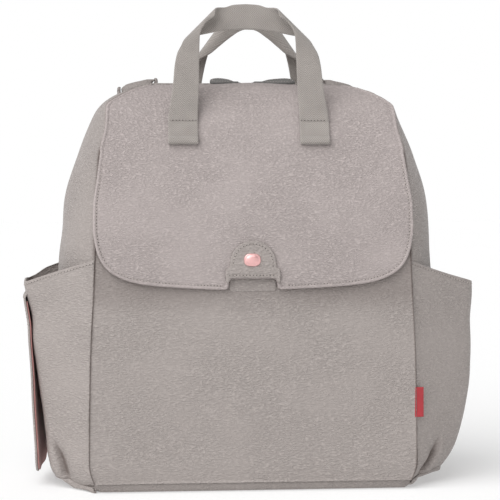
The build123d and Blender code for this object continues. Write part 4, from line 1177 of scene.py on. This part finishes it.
# ---------------------------------------------------------------- zip
def build_zip():
    for side, name in ((-1, "front"), (1, "back")):
        share = np.linspace(0, 1, 9)[:, None]
        grid = np.zeros((9, 150, 3))
        grid[..., 0] = np.linspace(-83.6, 83.6, 150)
        grid[..., 1] = side * (0.6 + 9.6 * share)
        grid[..., 2] = 345.6 - 0.35 * np.sin(share * math.pi) + 0.12 * ripple(grid, 9.0, 3.0)
        low = grid - [0, 0, 0.75]
        obj = shell(f"zip_tape_{name}_cloth", grid[:, ::side], low[:, ::side], tape_cloth, "bag")
        stands_for(obj, "zip_tape", f"zip_tape_{name}")
    for side, name in SIDE_NAMES.items():
        build_zip_pull(side, name)


def build_zip_pull(side, name):
    """Leaf-shaped pull: narrow over its slider, broad at its end, tipped towards the front."""
    near, end = (7.0, 32.0) if side < 0 else (10.0, 43.5)
    half = spline([(near, 0.0), (near + 1, 2.6), (near + 5.4, 4.6), (end - 14, 6.6), (end - 8, 7.4),
                   (end - 2.6, 5.6), (end - 0.3, 2.4), (end, 0.0)], 0.8)
    outline = even(np.vstack([half, (half * [1, -1])[::-1][1:-1]]), 0.9, closed=True)

    def surface(a, b, h):
        share = np.clip((a - near) / (end - near), 0, 1)
        z = 350.3 + 2.2 * np.sin(share * math.pi * 0.7) + 0.26 * b * smooth(share * 3)
        return np.stack([side * a, b + 0 * a, z + h], axis=-1)

    obj = outline_panel(f"{name}_pull_leather", outline, surface, 2.5, leather_dark, f"{name}_zip_pull",
                        step=1.6, roll=0.9, bead=0.2, groove=2.0)
    stands_for(obj, "dark_leather", f"{name}_pull_tab")
    # rounded crown over the slider's bridge
    turn, lift = np.linspace(0, 2 * np.pi, 24, endpoint=False), np.linspace(0.12, np.pi - 0.12, 12)
    crown = np.stack([side * 7.5 + 6.0 * np.outer(np.sin(lift), np.cos(turn)),
                      4.6 * np.outer(np.sin(lift), np.sin(turn)),
                      347.2 + 3.2 * np.outer(np.cos(lift), np.ones(24))], axis=-1)
    obj = ring_stack(f"{name}_slider_crown", crown, zip_metal, f"{name}_zip_slider", flip=side < 0,
                     flip_caps=True)
    stands_for(obj, "dark_metal", f"{name}_slider")
    line = inner_ring(outline, 2.0)
    stitch_on(f"{name}_zip_pull", surface, np.vstack([line, line[:1]]), lift=-0.2, pitch=2.4, length=1.6,
              radius=0.26)


# ---------------------------------------------------------------- shoulder straps
# Edges of the strap nearest to and furthest from the bag's middle, as (z, x, x).
STRAP_SIDE = [(352, 75.0, 112.0), (300, 75.0, 118.0), (270, 74.0, 124.0), (240, 73.5, 129.5),
              (210, 75.5, 131.0), (180, 79.5, 129.0), (155, 84.5, 124.5), (134, 88.0, 120.5)]


def strap_line():
    """Side view of the strap's middle, from the seam at the top down to the buckle, as (y, z)."""
    corners = np.array([(62.0, 328.0), (65.0, 348.0), (80.0, 349.5), (91.5, 328.0), (91.5, 134.5)])
    out = [corners[:1]]
    for a, corner, b, r in zip(corners, corners[1:], corners[2:], (7.0, 9.0, 20.0)):
        u, v = unit(a - corner), unit(b - corner)
        back = r / math.tan(0.5 * math.acos(float(u @ v)))
        back = min(back, 0.48 * np.linalg.norm(a - corner), 0.48 * np.linalg.norm(b - corner))
        out.append(quarter_turn(corner + u * back, corner, corner + v * back, np.linspace(0, 1, 10)[:, None]))
    return even(np.vstack([*out, corners[-1:]]), 2.0)


def strap_frame(line):
    """Direction out of the strap's outer face at each point of its line."""
    tangent = unit(np.gradient(line, axis=0))
    normal = np.stack([-tangent[:, 1], tangent[:, 0]], axis=1)
    return np.where((normal @ np.array([0.7, 0.7]) < 0)[:, None], -normal, normal)


def inflate(obj, pressure, cap, pins, voxel=4.5, frames=20):
    """Remeshes a closed form and puffs it with cloth pressure; pins(points) holds its seams."""
    scene = bpy.context.scene
    remesh = obj.modifiers.new("remesh", "REMESH")
    remesh.mode, remesh.voxel_size = "VOXEL", voxel * MM
    apply_modifiers(obj)
    start = vertex_array(obj.data)
    group = obj.vertex_groups.new(name="seams")
    for index, weight in enumerate(pins(start / MM)):
        if weight > 0.01:
            group.add([index], float(weight), "REPLACE")
    cloth = obj.modifiers.new("cloth", "CLOTH")
    settings = cloth.settings
    settings.quality, settings.mass = 5, 0.3
    settings.tension_stiffness = settings.compression_stiffness = 25
    settings.shear_stiffness, settings.bending_stiffness = 10, 1.5
    settings.use_pressure, settings.uniform_pressure_force = True, pressure
    settings.vertex_group_mass, settings.pin_stiffness = "seams", 2.0
    settings.effector_weights.gravity = 0.0
    cloth.point_cache.frame_start, cloth.point_cache.frame_end = 1, frames
    for frame_number in range(1, frames + 1):
        scene.frame_set(frame_number)
    graph = bpy.context.evaluated_depsgraph_get()
    settled = bpy.data.meshes.new_from_object(obj.evaluated_get(graph))
    obj.modifiers.clear()
    scene.frame_set(1)
    move = vertex_array(settled) - start
    length = np.linalg.norm(move, axis=1, keepdims=True)
    move *= np.minimum(1.0, cap * MM / np.maximum(length, 1e-9))
    obj.data.vertices.foreach_set("co", (start + move).ravel())
    bpy.data.meshes.remove(settled)


def vertex_array(mesh):
    points = np.empty(len(mesh.vertices) * 3)
    mesh.vertices.foreach_get("co", points)
    return points.reshape(-1, 3)


def apply_modifiers(obj):
    graph = bpy.context.evaluated_depsgraph_get()
    mesh = bpy.data.meshes.new_from_object(obj.evaluated_get(graph))
    old = obj.data
    obj.modifiers.clear()
    obj.data = mesh
    bpy.data.meshes.remove(old)


def strap_grids():
    """Line of a right shoulder strap with its normals, run, x grid, shares across and easing at both ends."""
    line = strap_line()
    run = run_length(line)
    table = np.array(STRAP_SIDE)[::-1]
    inner_x, outer_x = (np.where(run < 60, over, pchip(table[:, 0], table[:, k], line[:, 1]))
                        for k, over in ((1, 75.0), (2, 112.0)))
    shares = np.linspace(-1, 1, 25)
    middle, half = (inner_x + outer_x) / 2, (outer_x - inner_x) / 2 - 1.0
    x = middle[:, None] + half[:, None] * shares[None, :]
    ends = smooth(run / 12) * smooth((run[-1] - run) / 12)
    return line, strap_frame(line), run, x, shares, ends


def build_strap(side):
    name = SIDE_NAMES[side]
    line, normal, run, x, shares, ends = strap_grids()
    swell = (1 - np.abs(shares) ** 3.0)[None, :] * (0.35 + 0.65 * ends[:, None])
    half_thick = 0.8 + 2.6 * swell
    rise = 6.0 * bump_at(run, 26, 22)[:, None] * (0.45 - shares[None, :]) / 1.45
    lay = lambda h: np.stack([x, line[:, 0:1] + normal[:, 0:1] * h,
                              line[:, 1:2] + normal[:, 1:2] * h + rise], axis=-1)
    outer, inner = lay(half_thick), lay(-half_thick)
    if side < 0:
        outer, inner = mirrored(outer)[:, ::-1], mirrored(inner)[:, ::-1]
    obj = shell(f"{name}_strap_padding", outer[:, ::-1], inner[:, ::-1], leather_strap_shade_painted, None)
    def pins(points):
        best = np.full(len(points), 1e9)
        which = np.zeros(len(points), int)
        for k, (y, z) in enumerate(line):
            d = np.hypot(points[:, 1] - y, points[:, 2] - z)
            closer = d < best
            best[closer], which[closer] = d[closer], k
        middle, half = (x[:, 0] + x[:, -1]) / 2, (x[:, -1] - x[:, 0]) / 2
        edge = half[which] - np.abs(np.abs(points[:, 0]) - middle[which])
        return np.clip((4.5 - edge) / 3.0, 0, 1)

    inflate(obj, 4.0, 5.0, pins)
    relax = obj.modifiers.new("relax", "SMOOTH")
    relax.iterations, relax.factor = 3, 0.5
    sub = obj.modifiers.new("soft", "SUBSURF")
    sub.levels = sub.render_levels = 1
    apply_modifiers(obj)
    obj.data.shade_smooth()
    obj.data.materials.clear()
    obj.data.materials.append(leather_strap_shade_painted)
    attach(obj, f"{name}_shoulder_strap")
    stands_for(obj, "grey_leather", f"{name}_strap", f"{name}_strap_foam")
    # bound edges
    for edge, inward in ((0, 1), (-1, -1)):
        ring = []
        centre_x = x[:, edge] + 0.5 * inward
        for angle in np.linspace(-0.62 * math.pi, 0.62 * math.pi, 11):
            out_x = -inward * 1.5 * math.cos(angle) + (0.9 * inward if abs(angle) > 1.6 else 0)
            h = 1.9 * math.sin(angle) * (1.0 if abs(angle) <= 1.6 else 1.05)
            ring.append(np.stack([centre_x + out_x, line[:, 0] + normal[:, 0] * h,
                                  line[:, 1] + normal[:, 1] * h + rise[:, edge]], axis=1))
        ring = np.array(ring).transpose(1, 0, 2)
        core = np.stack([centre_x, line[:, 0], line[:, 1] + rise[:, edge]], axis=1)
        half_way = (ring + core[:, None]) / 2
        if side < 0:
            ring, half_way = mirrored(ring), mirrored(half_way)
        turned = inward * side
        binding = shell(f"{name}_strap_binding_{'in' if inward > 0 else 'out'}", ring[:, ::turned],
                        half_way[:, ::turned], leather_strap_shade_painted, f"{name}_shoulder_strap")
        stands_for(binding, "grey_leather", f"{name}_strap")


STRAP_FOOT_X = 104.0     # middle of the lower webbing and its tab
TAB_LOW_Z, TAB_TOP_Z = 14.5, 45.0


def build_lower_webbing(side):
    """Adjustable webbing: up from the base tab, round the buckle's bar and down again as a loose tail."""
    name, width, thick = SIDE_NAMES[side], 25.0, 1.3
    bar_y, bar_z, r = 91.5, 108.0, 2.7
    points = [(84.5, 40.0), (84.9, 48.0), (86.0, 70.0), (87.6, 92.0), (88.5, 103.0)]
    points += [(bar_y - r * math.cos(t), bar_z + r * math.sin(t)) for t in np.linspace(-0.1, math.pi + 0.1, 14)]
    points += [(94.4, 103.0), (94.9, 92.0), (94.6, 76.0), (93.6, 62.0), (93.2, 54.0)]
    points = even(points, 1.0)
    length = run_length(points)[-1]
    at = np.linspace(0, length, int(length / 1.5))
    centre = np.column_stack([np.full(len(at), STRAP_FOOT_X * side), resampled(points, at)])
    normal = np.cross(unit(np.gradient(centre, axis=0)), [1.0, 0, 0])
    shares = np.concatenate([[-1, -0.965], np.linspace(-0.9, 0.9, 9), [0.965, 1]])
    edge = np.array([0.35, 0.8, *[1.0] * 9, 0.8, 0.35]) * thick / 2
    middle = centre[:, None] + np.outer(shares * width / 2, [1.0, 0, 0])
    out = normal[:, None] * edge[None, :, None]
    uv = np.stack(np.broadcast_arrays((shares[None, :] + 1) * width / 2, at[:, None]), axis=-1) * MM
    obj = shell(f"{name}_lower_webbing_strap", (middle + out)[:, ::-1], (middle - out)[:, ::-1], webbing,
                f"{name}_lower_webbing", uvs=uv[:, ::-1])
    stands_for(obj, "webbing", f"{name}_strap_webbing")


def build_strap_anchors(side):
    """Base tab that holds the lower webbing, and the yoke patch at the top of the back."""
    name, middle, turns = SIDE_NAMES[side], STRAP_FOOT_X * side, 44
    back_y = lambda z: float(back_at(0.0, chord_at(z))[1]) + 0.5
    angle = np.linspace(0, 2 * math.pi, turns, endpoint=False)
    square = (np.abs(np.cos(angle)) ** 5 + np.abs(np.sin(angle)) ** 5) ** -0.2
    rings = []
    for level in TAB_LOW_Z + (TAB_TOP_Z - TAB_LOW_Z) * np.linspace(0, 1, 26):
        share = (level - TAB_LOW_Z) / (TAB_TOP_Z - TAB_LOW_Z)
        thick = 1.0 + 3.0 * share - 0.9 * smooth((share - 0.9) / 0.1)
        half = 15.6 - 0.8 * share - 0.8 * smooth((share - 0.93) / 0.07)
        rings.append(np.stack([middle + half * np.cos(angle) * square,
                               back_y(level) + thick + thick * np.sin(angle) * square,
                               np.full(turns, level)], axis=1))
    obj = ring_stack(f"{name}_base_tab_leather", np.array(rings), leather, "bag")
    stands_for(obj, "grey_leather", f"{name}_strap_tab")
    reach, low, high = 12.6, 18.0, 42.0
    path = even([(middle - reach, high), (middle - reach, low), (middle + reach, low), (middle + reach, high),
                 (middle - reach, high)], 1.0)
    points = [(a, back_y(b) + 2 * (1.0 + 3.0 * (b - TAB_LOW_Z) / (TAB_TOP_Z - TAB_LOW_Z)), b) for a, b in path]
    stitching.add("bag", points, np.tile([0.0, 1.0, -0.1], (len(points), 1)))

    surface = lambda a, c, h: back_at(a, c, 1.9 + h)
    corners = ((73.8, 301.0), (112.6, 301.0), (112.6, 325.8), (73.8, 325.8))
    outline = rounded(on_chords([(side * a, b) for a, b in corners]), [5, 5, 1.5, 1.5], 1.2)
    obj = outline_panel(f"{name}_yoke_leather", outline, surface, 1.7, leather, "bag", step=2.6, roll=0.7,
                        bead=0.15, groove=2.8)
    stands_for(obj, "grey_leather", f"{name}_strap_yoke")
    line = inner_ring(outline, 2.8)
    stitch_on("bag", surface, np.vstack([line, line[:1]]), lift=-0.2)


def build_label():
    """Small blank fabric tag, folded double and caught in the right front seam."""
    z, share = np.linspace(62.2, 87.8, 40)[:, None], np.linspace(0, 1, 14)
    y = -81.5 + 0.9 * share ** 2 + 0.25 * np.sin(z / 6.0) * share
    grid = np.stack(np.broadcast_arrays(138.2 + 7.6 * share, y, z), axis=-1)
    inner = grid + [0, 1.1, 0]
    inner[:, -1, 1] = grid[:, -1, 1] + 0.5
    obj = shell("side_label_cloth", grid[:, ::-1], inner[:, ::-1], red_cloth, "bag")
    stands_for(obj, "red_label", "side_label")


def build_sleeve_pocket():
    """Open pocket sewn to the lining's back."""
    low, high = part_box("inner_sleeve_pocket")
    x0, x1, z0, z1 = low[0] / MM + 0.5, high[0] / MM - 0.5, low[2] / MM + 0.5, high[2] / MM
    y0, y1 = low[1] / MM + 0.4, high[1] / MM - 0.3
    x, z = np.linspace(x0, x1, 80), np.linspace(z0, z1, 40)[:, None]
    bulge = np.clip((x - x0) / 7, 0, 1) * np.clip((x1 - x) / 7, 0, 1) * np.clip((z - z0) / 7, 0, 1)
    grid = np.stack(np.broadcast_arrays(x, y1 - (y1 - y0) * np.sqrt(bulge), z), axis=-1)
    inner = grid + [0, 0.8, 0]
    obj = shell("inner_sleeve_cloth", grid[:, ::-1], inner[:, ::-1], grey_cloth, "bag")
    stands_for(obj, "grey_lining", "inner_sleeve_pocket")


# ---------------------------------------------------------------- CAD pieces that keep their shape
NODE_MATERIALS = {
    zip_metal: ("zip_teeth_back", "zip_teeth_front", "zip_end_stops", "left_pull_link", "right_pull_link"),
    black_plastic: ("left_strap_buckle", "right_strap_buckle"),
    steel: ("magnet_ring", "magnet_disc", "wipes_flap_magnet", "pocket_magnet"),
    board_plastic: ("base_board",),
}


def finish_cad_nodes():
    for material, nodes in NODE_MATERIALS.items():
        for node in nodes:
            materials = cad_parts[node].data.materials
            materials.clear()
            materials.append(material)


# ---------------------------------------------------------------- studio
def build_studio():
    """Pale floor, white surroundings that dim towards the zenith, and a broad soft key from the upper left."""
    floor_mat, tree, shader = node_material("studio_floor", grey(0.6), 0.9, 0.05)
    tint = noise_over(tree, Scale=1.5, Detail=2.0)["Fac"]
    tint = colour_ramp(tree, tint, [(0.0, grey(0.595)), (1.0, grey(0.605))])
    tree.links.new(tint, shader.inputs["Base Color"])
    shader.inputs["Emission Color"].default_value = (1, 1, 1, 1)
    shader.inputs["Emission Strength"].default_value = 0.36
    size, level = 6000.0, -0.3
    corners = [(-size, -size, level), (size, -size, level), (size, size, level), (-size, size, level)]
    floor = make_object("studio_floor", corners, [(0, 1, 2, 3)], floor_mat)
    world = bpy.data.worlds.new("studio_world")
    world.use_nodes = True
    tree = world.node_tree
    where = add_node(tree, "ShaderNodeTexCoord")
    split = add_node(tree, "ShaderNodeSeparateXYZ")
    tree.links.new(where.outputs["Generated"], split.inputs["Vector"])
    sky = colour_ramp(tree, split.outputs["Z"], [(0.14, grey(1)), (0.4, grey(0.34)), (1.0, grey(0.34))])
    tree.links.new(sky, tree.nodes["Background"].inputs["Color"])
    bpy.context.scene.world = world
    sun = bpy.data.lights.new("key_light", "SUN")
    sun.energy, sun.angle = 2.9, math.radians(64)
    key = bpy.data.objects.new("key_light", sun)
    key.rotation_euler = Vector((0.50, 0.55, -0.80)).to_track_quat("-Z", "Y").to_euler()
    bpy.context.scene.collection.objects.link(key)


def build_camera():
    camera_data = bpy.data.cameras.new("photo_camera")
    camera_data.sensor_width, camera_data.lens = 36.0, 136.1
    camera = bpy.data.objects.new("photo_camera", camera_data)
    yaw, distance = math.radians(5.2), 1.6
    aim = Vector((-0.0034, -0.078, 0.2059))
    camera.location = aim + Vector((-distance * math.sin(yaw), -distance * math.cos(yaw), 0.290 - aim.z))
    camera.rotation_euler = (aim - camera.location).to_track_quat("-Z", "Y").to_euler()
    bpy.context.scene.collection.objects.link(camera)
    bpy.context.scene.camera = camera
    bpy.context.scene.view_settings.view_transform = "Standard"


build_camera()
build_studio()
build_front_panel()
for side in (-1, 1):
    build_gusset(side)
build_upper_front_and_flap()
build_flap_lining()
build_closure()
build_back()
build_base()
build_front_wall()
build_lining()
for side in (-1, 1):
    build_pocket(side)
    build_strap(side)
    build_lower_webbing(side)
    build_strap_anchors(side)
build_wipes_flap()
build_handle("front")
build_handle("back")
build_zip()
build_label()
build_sleeve_pocket()
stitching.build()
finish_cad_nodes()
